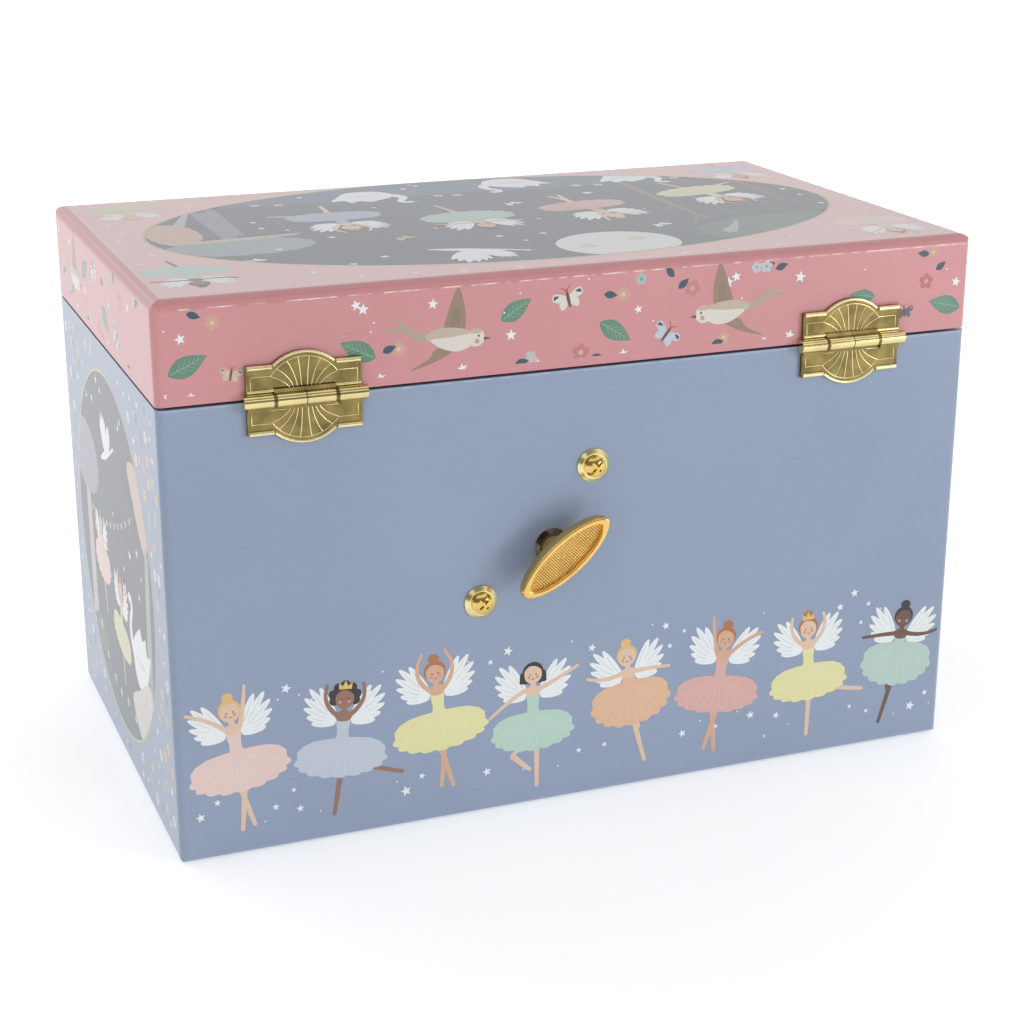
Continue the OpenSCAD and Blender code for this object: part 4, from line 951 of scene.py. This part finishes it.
window.lay("c0b4b1", oval(91.6, 97.4, 2.3, 1.8))
window.lay("c0b4b1", oval(77.2, 93.2, 2.3, 1.8))
window.lay("9299a5", smooth([(50, 88), (54, 92), (53, 95), (50.6, 93.4), (46, 85), (45.4, 82)]))
dancer(window, 137.1, 44, 1.3, "949db6", FAIR, GINGER, "high", "arabesque", 1, 0, tall=1.0)
dancer(window, 105.7, 53.4, 1.3, "96b1a3", WARM, BLACK, "open", "one", 1, 2, tall=1.3)
dancer(window, 72.4, 52.2, 1.3, "bc9390", FAIR, BLONDE, "diagonal", "crossed", -1, 8)
dancer(window, 35.5, 44, 1.3, "c2c39c", WARM, GINGER, "high", "arabesque", -1, 14)
for x, y, wing in [(129, 73, "abb099"), (88.6, 40.6, WHITE), (64.5, 80, WHITE), (169, 85.6, WHITE)]:
    moth(window, x, y, 0.95, 30, wing, "ae866e")
scatter(window, [(96, 79.6, 1.3), (107, 79, 1.4), (103, 86, 0.9), (140, 91.6, 1.5), (149, 96.8, 1.3),
                 (64.6, 33.2, 1.9), (158, 41.4, 1.1), (158, 49.4, 1.2), (152.6, 53.6, 0.9), (145, 66, 1.3),
                 (13.2, 46.8, 1.3), (13, 56, 1.1), (13.6, 68.6, 1.2), (104, 7, 1.2), (108.6, 10.4, 1.3),
                 (138, 12.6, 1.2), (150, 11.2, 1.0), (105, 5, 0.8), (160.4, 75, 1.2), (118, 64, 0.7),
                 (90, 62, 0.8), (60, 60, 0.7), (124, 33, 0.8)])
dancer(top_panel, 184.6, 14.6, 1.0, "babda1", FAIR, BLONDE, "open", "crossed", 1, 0)
dancer(top_panel, 186.0, 93.4, 1.08, AQUA, DEEP, BLACK, "open", "one", 1, 0, tall=1.2)
dancer(top_panel, 14.6, 15.4, 1.0, LILAC, WARM, GINGER, "open", "crossed", -1, 0)
dancer(top_panel, 14.4, 96.6, 1.08, PINK, FAIR, GINGER, "diagonal", "crossed", 1, 0)
corner_stars = [(192, 32, 1.1), (191, 41.6, 1.0), (193.4, 52, 1.0), (189.4, 71, 1.1), (194, 79.6, 1.0),
                (160, 102, 1.2), (151, 108.6, 1.0), (139, 110.8, 1.1), (128, 112, 1.2), (115, 112.6, 1.3),
                (74, 112.4, 1.1), (62, 112, 1.1), (49, 111.6, 1.1), (42, 104.8, 1.0), (24, 102.4, 1.1),
                (158, 3.2, 1.0), (168, 14, 1.0), (176, 4.4, 1.0), (6, 36, 1.0), (4.4, 54, 1.1), (5.4, 68, 1.0),
                (22, 13.6, 1.0), (47, 3.0, 1.0), (8.6, 82, 1.0), (30, 5.6, 0.9)]
scatter(top_panel, corner_stars, [(188, 61), (195, 62), (168, 106), (90, 112.6), (20, 88), (36, 109)])

# %% [markdown]
# The sides: a round night picture on a blue ground sown with leaves, flowers and moths.

# %% Sides
def side_picture(panel, flip=1):
    cx, cz, r = DEPTH / 2 - 2.2 * flip, 54.6, 46.3

    def through(p):
        return within((cx + flip * (p[0] - 57), p[1]), cx, cz, r - 0.7, r - 0.7)

    view = Window(panel, through)
    panel.lay(GOLD, oval(cx, cz, r, count=90))
    panel.lay(NIGHT, oval(cx, cz, r - 0.7, count=90))
    view.lay("3f545b", [(x, 8) for x in range(20, 100, 6)] + [(x, 18 + 1.4 * math.sin(x / 5)) for x in
                                                              range(100, 16, -4)])
    cloud_tree(view, 24, 71.6, 17, 9.8, "8c8697", "aca4a4", 26, 5.0, "a59fac")
    view.lay("baa496", smooth([(80, 85), (92, 87), (99, 80), (99, 70), (94, 68), (86, 76)]))
    view.lay("919495", [(95.6, 70), (99.4, 68), (97, 32), (91.6, 36)])
    lantern_string(view, (27, 59.6), (52, 58), (82, 72.6), 11)
    flying_swan(view, 52.6, 80, 1.05, 1)
    dancer(view, 39.6, 47.6, 1.04, PINK, FAIR, GINGER, "open", "one", 1, 0, tall=1.3)
    dancer(view, 60.6, 37.0, 1.12, "c5c39f", FAIR, GINGER, "high", "one", 1, -8)
    swimming_swan(view, 82.6, 35.4, 1.5, -1)
    view.lay("c3bdb9", smooth([(70, 22), (80, 28), (92, 34), (96, 30), (90, 20), (80, 14)]))
    view.lay("4c6563", scalloped(30, 24.6, 9.4, 4.6, 9, 0.08))
    for x, y in [(22, 25), (31, 27), (38, 21), (47, 18), (54, 17), (63, 18), (72, 17), (85, 26), (88, 29)]:
        flower(view, x, y, 1.3, "c0b5ac", "ae866e")
    scatter(view, [(30.6, 89, 1.2), (38, 90, 1.3), (45.6, 96.6, 1.3), (50, 95, 1.1), (71.6, 91.4, 1.2),
                   (74, 93.4, 1.0), (77, 61.4, 1.6), (86, 65, 1.4), (86, 54, 1.2), (68, 55, 1.0),
                   (58, 66, 0.9), (90, 60, 0.8)], [(60, 90), (66, 84), (42, 66), (72, 78)])
    moth(panel, cx + flip * 10.6, 50, 0.8, 20, WHITE, "a17d7c")
    chance = random.Random(7)
    placed = []
    for i in range(1600):
        x, y = chance.uniform(4, DEPTH - 4), chance.uniform(4, CASE_TOP - 4)
        turn, kind = chance.uniform(0, 180), i % 6
        near_edge = min(x, DEPTH - x, y, CASE_TOP - y)
        if math.hypot(x - cx, y - cz) < r + 3.4 or any(math.hypot(x - a, y - b) < 4.3 for a, b in placed):
            continue
        placed.append((x, y))
        if kind == 0 and near_edge > 6:
            leaf(panel, x - 2.6 * math.cos(math.radians(turn)), y - 2.6 * math.sin(math.radians(turn)),
                 5.6, 2.8, turn, "8fada6", False)
        elif kind in (1, 2):
            flower(panel, x, y, 1.7, chance.choice(["c9a896", "c3c7cc", "c79a94", "c8b28c"]), "b98a63")
        elif kind == 3:
            leaf(panel, x - 1.5, y, 3.2, 1.6, turn, "5f7f9c", False)
        else:
            scatter(panel, [(x, y, chance.uniform(0.8, 1.4))])


side_picture(right_panel, 1)
side_picture(left_panel, -1)

# %% [markdown]
# The front, which the hinges never show: four dancers above the drawer, and a starry drawer front with two
# sprays of leaves either side of the knob.

# %% Front and drawer
front_row = [(38, LILAC, BROWN, BLACK, "round", "arabesque", 1),
             (78, PINK, FAIR, BLONDE, "high", "crossed", 1),
             (122, MINT, WARM, GINGER, "wide", "passe", -1),
             (162, YELLOW, DEEP, BLACK, "open", "one", 1)]
for x, skirt, skin, hair, arms, legs, flip in front_row:
    dancer(front_panel, x, 71, 1.35, skirt, skin, hair, arms, legs, flip)
chance = random.Random(21)
for i in range(46):
    x, y = 7 + i * 4.1, chance.choice([49, 52, 97, 101, 92, 56]) + chance.uniform(-2, 2)
    scatter(front_panel, [(x, y, chance.uniform(0.7, 1.4))])
drawer_lo, drawer_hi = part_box("drawer_front")
drawer_mid = (drawer_lo.z + drawer_hi.z) / 2 / MM
for side in (-1, 1):
    for i in range(5):
        x = WIDTH / 2 + side * (16 + 13 * i)
        sway = (-1) ** i
        leaf(drawer_panel, x, drawer_mid + sway * 2.5, 8, 3.8, 90 - side * 60 if i % 2 else 90 + side * 110)
        flower(drawer_panel, x + side * 6, drawer_mid - sway * 5, 2.0, "c6b0a2" if i % 2 else "c5bfc1",
               "ae866e")
        scatter(drawer_panel, [(x + side * 3, drawer_mid + sway * 11, 1.3),
                               (x + side * 9, drawer_mid - sway * 11, 1.0)])

# %% [markdown]
# All the shapes are laid, so each panel can be printed: this is where the films become meshes that ride on
# the case, the lid or the drawer.

# %% Print every panel
for panel in (back_panel, right_panel, left_panel, front_panel, drawer_panel, rim_back, rim_right, rim_left,
              rim_front, top_panel):
    panel.print()

# %% [markdown]
# The hinges are stamped from thin brass: each leaf has a rolled bead at its shoulders and round its arc, and
# a pressed fan of fine lines that spreads from the knuckles, mirrored on the other leaf. A bead is a round
# wire laid along its path, as a press leaves it.

# %% Pressed lines of the hinges
def bead(name, path, radius, finish):
    """A round raised line along (x, y, z) points in millimetres, closed at its ends."""
    path = [(x * MM, y * MM, z * MM) for x, y, z in path]
    return as_mesh(curve_piece(name, [path], dimensions="3D", bevel_depth=radius * MM, bevel_resolution=2,
                               use_fill_caps=True), finish)


def joined(pieces, name, body):
    """Joins pieces into one that rides on a body."""
    select_only(*pieces)
    bpy.ops.object.join()
    pieces[0].name = name
    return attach(pieces[0], body)


def bent(a, b, c, steps=8):
    """Points of a quadratic curve."""
    out = []
    for i in range(steps + 1):
        t = i / steps
        out.append(tuple(a[k] * (1 - t) ** 2 + b[k] * 2 * t * (1 - t) + c[k] * t * t for k in (0, 1)))
    return out


ARC_R, SHOULDER, LEAF_HALF = 10.4, 7.8, 13.0
KNUCKLE_ROW, KNUCKLE_R, NECK_R = 27.8, 1.63, 1.54
PLATE, LINE_R = 0.9, 0.11
# Dark rings for the necks between the knuckles: painted shade in the gaps.
knuckle_gap_shade = plated_metal("knuckle_gap_painted_shade", "5d5546", 0.5)
# The knuckles' brass made pale beyond the leaf's own: painted highlight on the rolled knuckles.
knuckle_highlight_brass = plated_metal("knuckle_painted_highlight_brass", "e9d69a", 0.13)
INNER_R, FRAME_TOP, FRAME_LOW = 9.1, 5.3, 2.35
FAN = [(0.65, 1.3), (1.55, 3.8), (2.4, 6.1), (3.3, 7.5)]
for side in ("left", "right"):
    pin_lo, pin_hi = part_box(f"hinge_{side}_pin")
    mid_x = (pin_lo.x + pin_hi.x) / 2 / MM
    pin_y = (pin_lo.y + pin_hi.y) / 2 / MM
    pin_z = (pin_lo.z + pin_hi.z) / 2 / MM
    for body, up in (("lid", 1), ("case", -1)):
        plate_y = HALF_D + PLATE
        at = lambda points, proud=0.0: [(mid_x + x, plate_y + proud, pin_z + up * z) for x, z in points]
        parts = []
        # The raised lines and beads carry the pale brass of painted highlight.
        arc = [(INNER_R * math.sin(math.radians(a)), INNER_R * math.cos(math.radians(a)))
               for a in range(-54, 55, 4)]
        parts.append(bead("line", at(arc), LINE_R, pressed_line_highlight))
        rim = [((ARC_R - 0.3) * math.sin(math.radians(a)), (ARC_R - 0.3) * math.cos(math.radians(a)))
               for a in range(-42, 43, 4)]
        parts.append(bead("rim", at(rim, -0.15), 0.36, pressed_line_highlight))
        for s in (-1, 1):
            box_line = [(s * 7.35, FRAME_TOP), (s * 12.0, FRAME_TOP), (s * 12.0, FRAME_LOW),
                        (s * 4.4, FRAME_LOW)]
            parts.append(bead("line", at(box_line), LINE_R, pressed_line_highlight))
            for low, high in FAN:
                top = math.sqrt(INNER_R ** 2 - high ** 2)
                swell = (s * (low + (high - low) * 0.25), FRAME_LOW + (top - FRAME_LOW) * 0.6)
                parts.append(bead("line", at(bent((s * low, FRAME_LOW), swell, (s * high, top))), LINE_R,
                                  pressed_line_highlight))
            parts.append(bead("fold", at([(s * (LEAF_HALF - 0.3), SHOULDER - 0.5), (s * 7.2, SHOULDER - 0.5)],
                                         0.05), 0.6, pressed_line_highlight))
            parts.append(bead("edge", at([(s * (LEAF_HALF - 0.25), 0.6 + FRAME_LOW * 0.4),
                                          (s * (LEAF_HALF - 0.25), SHOULDER - 0.5)], -0.1), 0.3, hinge_brass))
        if up > 0:
            parts.append(bead("roll", at([(-LEAF_HALF + 0.2, 2.0), (LEAF_HALF - 0.2, 2.0)], 0.0), 0.45,
                              pressed_line_highlight))
        joined(parts, f"hinge_{side}_{body}_leaf_relief", body)
    for i in range(4):
        low = mid_x - KNUCKLE_ROW / 2 + i * KNUCKLE_ROW / 4
        gaps = (0.0 if i == 0 else (0.12 if i == 2 else 0.45), 0.0 if i == 3 else (0.12 if i == 1 else 0.45))
        roll = bead("knuckle", [(low + gaps[0], pin_y, pin_z), (low + gaps[0] + 0.2, pin_y, pin_z),
                                (low + KNUCKLE_ROW / 4 - gaps[1] - 0.2, pin_y, pin_z),
                                (low + KNUCKLE_ROW / 4 - gaps[1], pin_y, pin_z)], KNUCKLE_R, knuckle_highlight_brass)
        knuckle = joined([roll], f"hinge_{side}_knuckle_{i + 1}", "lid" if i in (1, 2) else "case")
    # The necks are dark with painted shade, so the gaps between knuckles read as notches.
    for x in (-KNUCKLE_ROW / 4, 0.0, KNUCKLE_ROW / 4):
        neck = bead("neck", [(mid_x + x - 0.4, pin_y, pin_z), (mid_x + x + 0.4, pin_y, pin_z)], NECK_R,
                    knuckle_gap_shade)
        joined([neck], f"hinge_{side}_neck_{round(x)}", "case")
print("hinges pressed")

# %% [markdown]
# The key is a zinc casting plated orange gold: a pointed oval rim with softened edges round a sunken panel,
# whose face is knurled with two sets of fine slanting grooves. It replaces the plain solid of the frame.

# %% The winding key
def oval_with_tips(long, wide, count=64):
    """A pointed oval with rounded tips, long along x."""
    return [(long / 2 * math.cos(2 * math.pi * i / count),
             math.copysign(wide / 2 * abs(math.sin(2 * math.pi * i / count)) ** 1.2,
                           math.sin(2 * math.pi * i / count))) for i in range(count)]


def cast_plate(name, outlines, thick, soft, finish):
    """A plate between outlines, the second being its hole, with rounded edges, lying on z = 0."""
    piece = curve_piece(name, outlines, closed=True, dimensions="2D", fill_mode="BOTH",
                        extrude=thick / 2 - soft, bevel_depth=soft, bevel_resolution=3, offset=-soft)
    piece.location.z = thick / 2
    as_mesh(piece, finish)
    bpy.ops.object.shade_smooth_by_angle(angle=math.radians(50))
    return piece


knurled = plated_metal("knurled_gold_plate", "e3bd72", 0.24)
knurl_tree = knurled.node_tree
GROOVE = 0.55  # from one groove of the knurling to the next, mm
knurl_place = add_node(knurl_tree, "ShaderNodeTexCoord")
heights = []
for turn in (45, -45):
    slant = add_node(knurl_tree, "ShaderNodeMapping", {"Rotation": (0, math.radians(turn), 0)},
                     Vector=knurl_place.outputs["Object"])
    heights.append(add_node(knurl_tree, "ShaderNodeTexWave", {"Scale": 2 * math.pi / (20 * GROOVE * MM),
                                                              "bands_direction": "X"},
                            Vector=slant.outputs["Vector"]))
grooves = add_node(knurl_tree, "ShaderNodeMath", {"operation": "MULTIPLY", 0: heights[0].outputs["Fac"],
                                                  1: heights[1].outputs["Fac"]})
raised(knurl_tree, knurl_tree.nodes["Principled BSDF"], grooves.outputs["Value"], 0.9, 0.00025)

key_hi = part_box("winding_key")[1]
arbor_lo, arbor_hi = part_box("winding_arbor")
key_x = (arbor_lo.x + arbor_hi.x) / 2
key_z = (arbor_lo.z + arbor_hi.z) / 2
corners = [v.co for v in nodes["winding_key"].data.vertices]
tip = max(corners, key=lambda v: math.hypot(v.x - key_x, v.z - key_z) + v.z * 0.001)
key_turn_angle = math.atan2(tip.z - key_z, -(tip.x - key_x))
KEY_LONG = 2 * math.hypot(tip.x - key_x, tip.z - key_z) / MM
KEY_WIDE, KEY_THICK, KEY_RIM, BOSS_R = 9.3, 3.2, 1.3, 3.2
rim = cast_plate("key_rim", [oval_with_tips(KEY_LONG, KEY_WIDE),
                             oval_with_tips(KEY_LONG - 4.2, KEY_WIDE - 2 * KEY_RIM)],
                 KEY_THICK, 0.4, key_gold)
panel = cast_plate("key_panel", [oval_with_tips(KEY_LONG - 3.0, KEY_WIDE - KEY_RIM)], KEY_THICK - 1.6, 0.05,
                   knurled)
panel.data.transform(Matrix.Translation((0, 0, 0.5)))
bpy.ops.mesh.primitive_cylinder_add(vertices=48, radius=BOSS_R, depth=1, location=(0, 0, 0))
boss = bpy.context.object
boss.name = "key_boss"
boss_long = (key_hi.y / MM - KEY_THICK) - (HALF_D + 0.8) + 0.6
boss.data.transform(Matrix.Translation((0, 0, 0.5 - boss_long / 2)) @ Matrix.Diagonal((1, 1, boss_long, 1)))
boss.data.materials.append(key_gold)
bpy.ops.object.shade_smooth_by_angle(angle=math.radians(40))
key = joined([rim, panel, boss], "wind_up_key", "winder")
face_out = Matrix(((-1, 0, 0, 0), (0, 0, 1, 0), (0, 1, 0, 0), (0, 0, 0, 1)))
key.data.transform(Matrix.Translation((key_x, key_hi.y - KEY_THICK * MM, key_z)) @ Matrix.Scale(MM, 4)
                   @ face_out @ Matrix.Rotation(key_turn_angle, 4, "Z"))
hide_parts("winding_key")
print(f"key {KEY_LONG:.1f} mm long, turned {math.degrees(key_turn_angle):.0f} degrees")

# %% [markdown]
# The ring cushion: rolls of satin over foam, pushed side by side into the front tray so that rings sit in the
# grooves. A roll is a closed form that swells under its cover; it is simulated once at ten times its size,
# where cloth behaves well, and each of the others is its own copy, laid a roll further back.

# %% Ring cushion
cushion_lo, cushion_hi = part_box("ring_cushion")
ROLLS = 5
SIM = 10       # the cloth is simulated at this many times its size
SWELL = 0.006  # the furthest that the cover swells there, m
roll_deep = (cushion_hi.y - cushion_lo.y) / ROLLS
roll_long = cushion_hi.x - cushion_lo.x
roll_high = cushion_hi.z - cushion_lo.z
bpy.ops.object.select_all(action="DESELECT")
bpy.ops.mesh.primitive_cube_add(size=1, location=(0, 0, 0))
roll = bpy.context.object
roll.name = "cushion_roll"
roll.data.transform(Matrix.Diagonal((roll_long * SIM * 0.98, roll_deep * SIM * 0.9, roll_high * SIM * 0.95,
                                     1)))
bevel = roll.modifiers.new("soften", "BEVEL")
bevel.width = roll_deep * SIM * 0.36
bevel.segments = 4
bpy.ops.object.modifier_apply(modifier="soften")
remesh = roll.modifiers.new("remesh", "REMESH")
remesh.mode = "VOXEL"
remesh.voxel_size = 0.012
bpy.ops.object.modifier_apply(modifier="remesh")
before = [v.co.copy() for v in roll.data.vertices]
cloth = roll.modifiers.new("cloth", "CLOTH")
cloth.settings.use_pressure = True
cloth.settings.uniform_pressure_force = 4
cloth.settings.effector_weights.gravity = 0
for step in range(1, 21):
    scene.frame_set(step)
bpy.ops.object.modifier_apply(modifier="cloth")
scene.frame_set(1)
for vert, was in zip(roll.data.vertices, before):
    step = vert.co - was
    if step.length > SWELL:
        vert.co = was + step.normalized() * SWELL
bpy.ops.object.shade_smooth()
roll.data.transform(Matrix.Scale(1 / SIM, 4))
size = [max(v.co[k] for v in roll.data.vertices) - min(v.co[k] for v in roll.data.vertices) for k in range(3)]
roll.data.transform(Matrix.Diagonal((min(1, roll_long / size[0]), min(1.04, roll_deep * 1.02 / size[1]),
                                     min(1, roll_high / size[2]), 1)))
roll.data.materials.clear()
roll.data.materials.append(pink_satin)
copies = [bpy.data.objects.new(f"cushion_roll_{i + 1}", roll.data.copy()) for i in range(1, ROLLS)]
for i, copy in enumerate([roll] + copies):
    if i:
        scene.collection.objects.link(copy)
    copy.data.transform(Matrix.Translation(((cushion_lo.x + cushion_hi.x) / 2,
                                            cushion_lo.y + roll_deep * (i + 0.5),
                                            (cushion_lo.z + cushion_hi.z) / 2)))
    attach(copy, "case")
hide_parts("ring_cushion")
print("cushion of", ROLLS, "rolls,", len(roll.data.vertices), "points each")

# %% [markdown]
# The dancer is a moulded and painted figure on a spring: on the points of both feet, arms in a ring over the
# head, hair in a bun. Limbs are tapering rods through a few points. The skirt is two discs of net, gathered
# at the waist so that they ripple more towards the rim.

# %% The dancer
def limb(name, points, radii, finish):
    """A smooth tapering rod through points, in millimetres."""
    path = [(x * MM, y * MM, z * MM) for x, y, z in points]
    piece = curve_piece(name, [path], "NURBS", dimensions="3D", bevel_depth=MM, bevel_resolution=5,
                        use_fill_caps=True)
    spline = piece.data.splines[0]
    for point, radius in zip(spline.points, radii):
        point.radius = radius
    spline.use_endpoint_u = True
    spline.order_u = 3
    spline.resolution_u = 8
    return as_mesh(piece, finish)


def ball(name, place, radii, finish):
    """A rounded lump with its own half sizes along x, y and z, in millimetres."""
    bpy.ops.object.select_all(action="DESELECT")
    bpy.ops.mesh.primitive_uv_sphere_add(segments=32, ring_count=20, radius=1, location=(0, 0, 0))
    piece = bpy.context.object
    piece.name = name
    sized = Matrix.Diagonal([r * MM for r in radii] + [1])
    piece.data.transform(Matrix.Translation(Vector(place) * MM) @ sized)
    piece.data.materials.append(finish)
    bpy.ops.object.shade_smooth()
    return piece


pink_shoe = fibrous("pink_painted_satin", "e79fb0", 0.4, 0.35, 0.3, 0.05)
hair_paint = fibrous("painted_brown_hair", "8a5a3a", 0.3, 0.5, 0.0, 0.4, stretch=(1, 1, 0.2))
eye_paint = fibrous("painted_dark_line", "3a2622", 0.5, 0.4)
lip_paint = fibrous("painted_lips", "c65a62", 0.5, 0.4)
figure_lo, figure_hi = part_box("dancer_figure")
fx = (figure_lo.x + figure_hi.x) / 2 / MM
fy = (figure_lo.y + figure_hi.y) / 2 / MM
fz = figure_lo.z / MM
TALL = (figure_hi.z - figure_lo.z) / MM
k = TALL / 35  # the points below are those of a figure 35 mm tall
on = lambda points: [(fx + x * k, fy + y * k, fz + z * k) for x, y, z in points]
parts = []
for s in (-1, 1):
    parts.append(limb("leg", on([(s * 0.95, 0, 14.4), (s * 0.85, -0.1, 10.6), (s * 0.55, 0, 7.4),
                                 (s * 0.5, 0.1, 4.6), (s * 0.3, 0, 2.4)]), [1.25, 1.15, 0.8, 0.85, 0.5],
                      skin_paint))
    parts.append(limb("shoe", on([(s * 0.34, 0, 3.2), (s * 0.3, -0.1, 2.0), (s * 0.2, 0, 0.7)]),
                      [0.56, 0.68, 0.34], pink_shoe))
    parts.append(limb("arm", on([(s * 1.7, 0, 24.0), (s * 3.6, -0.3, 25.6), (s * 5.0, -0.5, 28.6),
                                 (s * 4.2, -0.6, 32.0), (s * 1.5, -0.7, 34.2)]),
                      [0.72, 0.68, 0.55, 0.46, 0.34], skin_paint))
    parts.append(ball("hand", on([(s * 1.1, -0.7, 34.35)])[0], (0.75, 0.36, 0.36), skin_paint))
    parts.append(ball("eye", on([(s * 1.05, -2.86, 28.9)])[0], (0.36, 0.16, 0.2), eye_paint))
    parts.append(ball("cheek", on([(s * 1.6, -2.5, 28.0)])[0], (0.4, 0.2, 0.3), pink_shoe))
    parts.append(limb("strap", on([(s * 0.9, -1.55, 22.4), (s * 1.2, -1.0, 24.3), (s * 1.1, 0.6, 24.5),
                                   (s * 0.9, 1.3, 22.6)]), [0.22, 0.22, 0.22, 0.22], pink_shoe))
parts.append(limb("bodice", on([(0, 0, 13.4), (0, 0, 15.4), (0, 0, 17.4), (0, 0, 20.2), (0, 0, 22.6)]),
                  [2.1, 1.95, 1.45, 1.95, 1.75], pink_shoe))
parts.append(limb("chest", on([(0, 0, 22.0), (0, 0, 23.6), (0, 0, 24.8), (0, 0, 25.4), (0, 0, 26.6)]),
                  [1.72, 1.75, 1.2, 0.72, 0.7], skin_paint))
for name, place, radii, finish in [("head", (0, 0, 28.7), (2.75, 2.85, 3.0), skin_paint),
                                   ("hair", (0, 0.45, 29.2), (2.88, 2.8, 2.95), hair_paint),
                                   ("fringe", (0, -1.6, 30.7), (1.9, 1.2, 0.8), hair_paint),
                                   ("bun", (0, 0.6, 32.5), (1.35, 1.35, 1.15), hair_paint),
                                   ("nose", (0, -2.86, 28.3), (0.22, 0.25, 0.25), skin_paint),
                                   ("lips", (0, -2.72, 27.3), (0.5, 0.2, 0.18), lip_paint)]:
    parts.append(ball(name, on([place])[0], radii, finish))
ribbon = []
for a in range(17):
    ribbon.append((1.62 * math.cos(a * math.pi / 8), 1.62 * math.sin(a * math.pi / 8), 16.9))
parts.append(limb("waist_ribbon", on(ribbon), [0.3] * 17, gold_film))
tiara = []
for a in range(-4, 5):
    tiara.append((2.3 * math.sin(a * math.pi / 10), 0.4 - 2.6 * math.cos(a * math.pi / 10),
                  31.0 + 0.5 * abs(math.cos(a * math.pi / 3))))
parts.append(limb("tiara", on(tiara), [0.2] * 9, gold_film))
parts.append(limb("foot_peg", on([(0, 0, 0.0), (0, 0, 0.5), (0, 0, 1.0)]), [2.2, 2.2, 1.4], nylon))
figure = joined(parts, "painted_dancer", "dancer")
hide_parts("dancer_figure")

tulle, tulle_tree, tulle_shader = new_material("pink_net", Roughness=0.7, Sheen_Weight=0.5)
tulle_place = add_node(tulle_tree, "ShaderNodeTexCoord")
tulle_net = add_node(tulle_tree, "ShaderNodeTexVoronoi",
                     {"Scale": millimetres(0.35), "feature": "DISTANCE_TO_EDGE"},
                     Vector=tulle_place.outputs["Object"])
tulle_hole = add_node(tulle_tree, "ShaderNodeMapRange", {"From Min": 0.05, "From Max": 0.3, "To Min": 0.95,
                                                         "To Max": 0.45}, Value=tulle_net.outputs["Distance"])
tulle_tree.links.new(tulle_hole.outputs["Result"], tulle_shader.inputs["Alpha"])
uneven_colour(tulle_tree, tulle_shader, tulle_net.outputs["Distance"], linear("f7c9d4"), linear("fbe2e8"))

tutu_lo, tutu_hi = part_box("dancer_tutu")
tutu_r = (tutu_hi.x - tutu_lo.x) / 2 / MM
WAIST_R = 1.7
for n, (reach, level, waves) in enumerate([(1.0, 0.62, 22), (0.9, 0.3, 19)]):
    bpy.ops.object.select_all(action="DESELECT")
    bpy.ops.mesh.primitive_circle_add(vertices=264, radius=WAIST_R * MM, fill_type="NOTHING",
                                      location=(0, 0, 0))
    skirt = bpy.context.object
    skirt.name = f"tutu_net_{n + 1}"
    bpy.ops.object.mode_set(mode="EDIT")
    bpy.ops.mesh.select_all(action="SELECT")
    rings = 14
    grow = (tutu_r * reach / WAIST_R) ** (1 / rings)
    for _ in range(rings):
        bpy.ops.mesh.extrude_edges_move()
        bpy.ops.transform.resize(value=(grow, grow, grow), center_override=(0, 0, 0))
    bpy.ops.object.mode_set(mode="OBJECT")
    for vert in skirt.data.vertices:
        r = vert.co.xy.length / MM
        a = math.atan2(vert.co.y, vert.co.x)
        share = max(0.0, (r - WAIST_R) / (tutu_r - WAIST_R))
        ripple = 0.75 * share ** 1.2 * math.sin(waves * a + 0.4 * math.sin(3 * a))
        lift = 0.35 * math.sin(math.pi * share) + 0.2 * share * math.sin(5 * a + n)
        vert.co.z = (ripple + lift + level * (tutu_hi.z - tutu_lo.z) / MM) * MM
    skirt.data.transform(Matrix.Translation((fx * MM, fy * MM, tutu_lo.z)))
    skirt.data.materials.append(tulle)
    bpy.ops.object.shade_smooth()
    cut = sum(face.area for face in skirt.data.polygons)
    side = 2 * math.sqrt(cut / math.pi + (WAIST_R * MM) ** 2)
    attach(skirt, "dancer")
    if n == 0:
        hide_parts("dancer_tutu")
    print(f"skirt disc {n + 1} cut {side / MM:.1f} mm across")
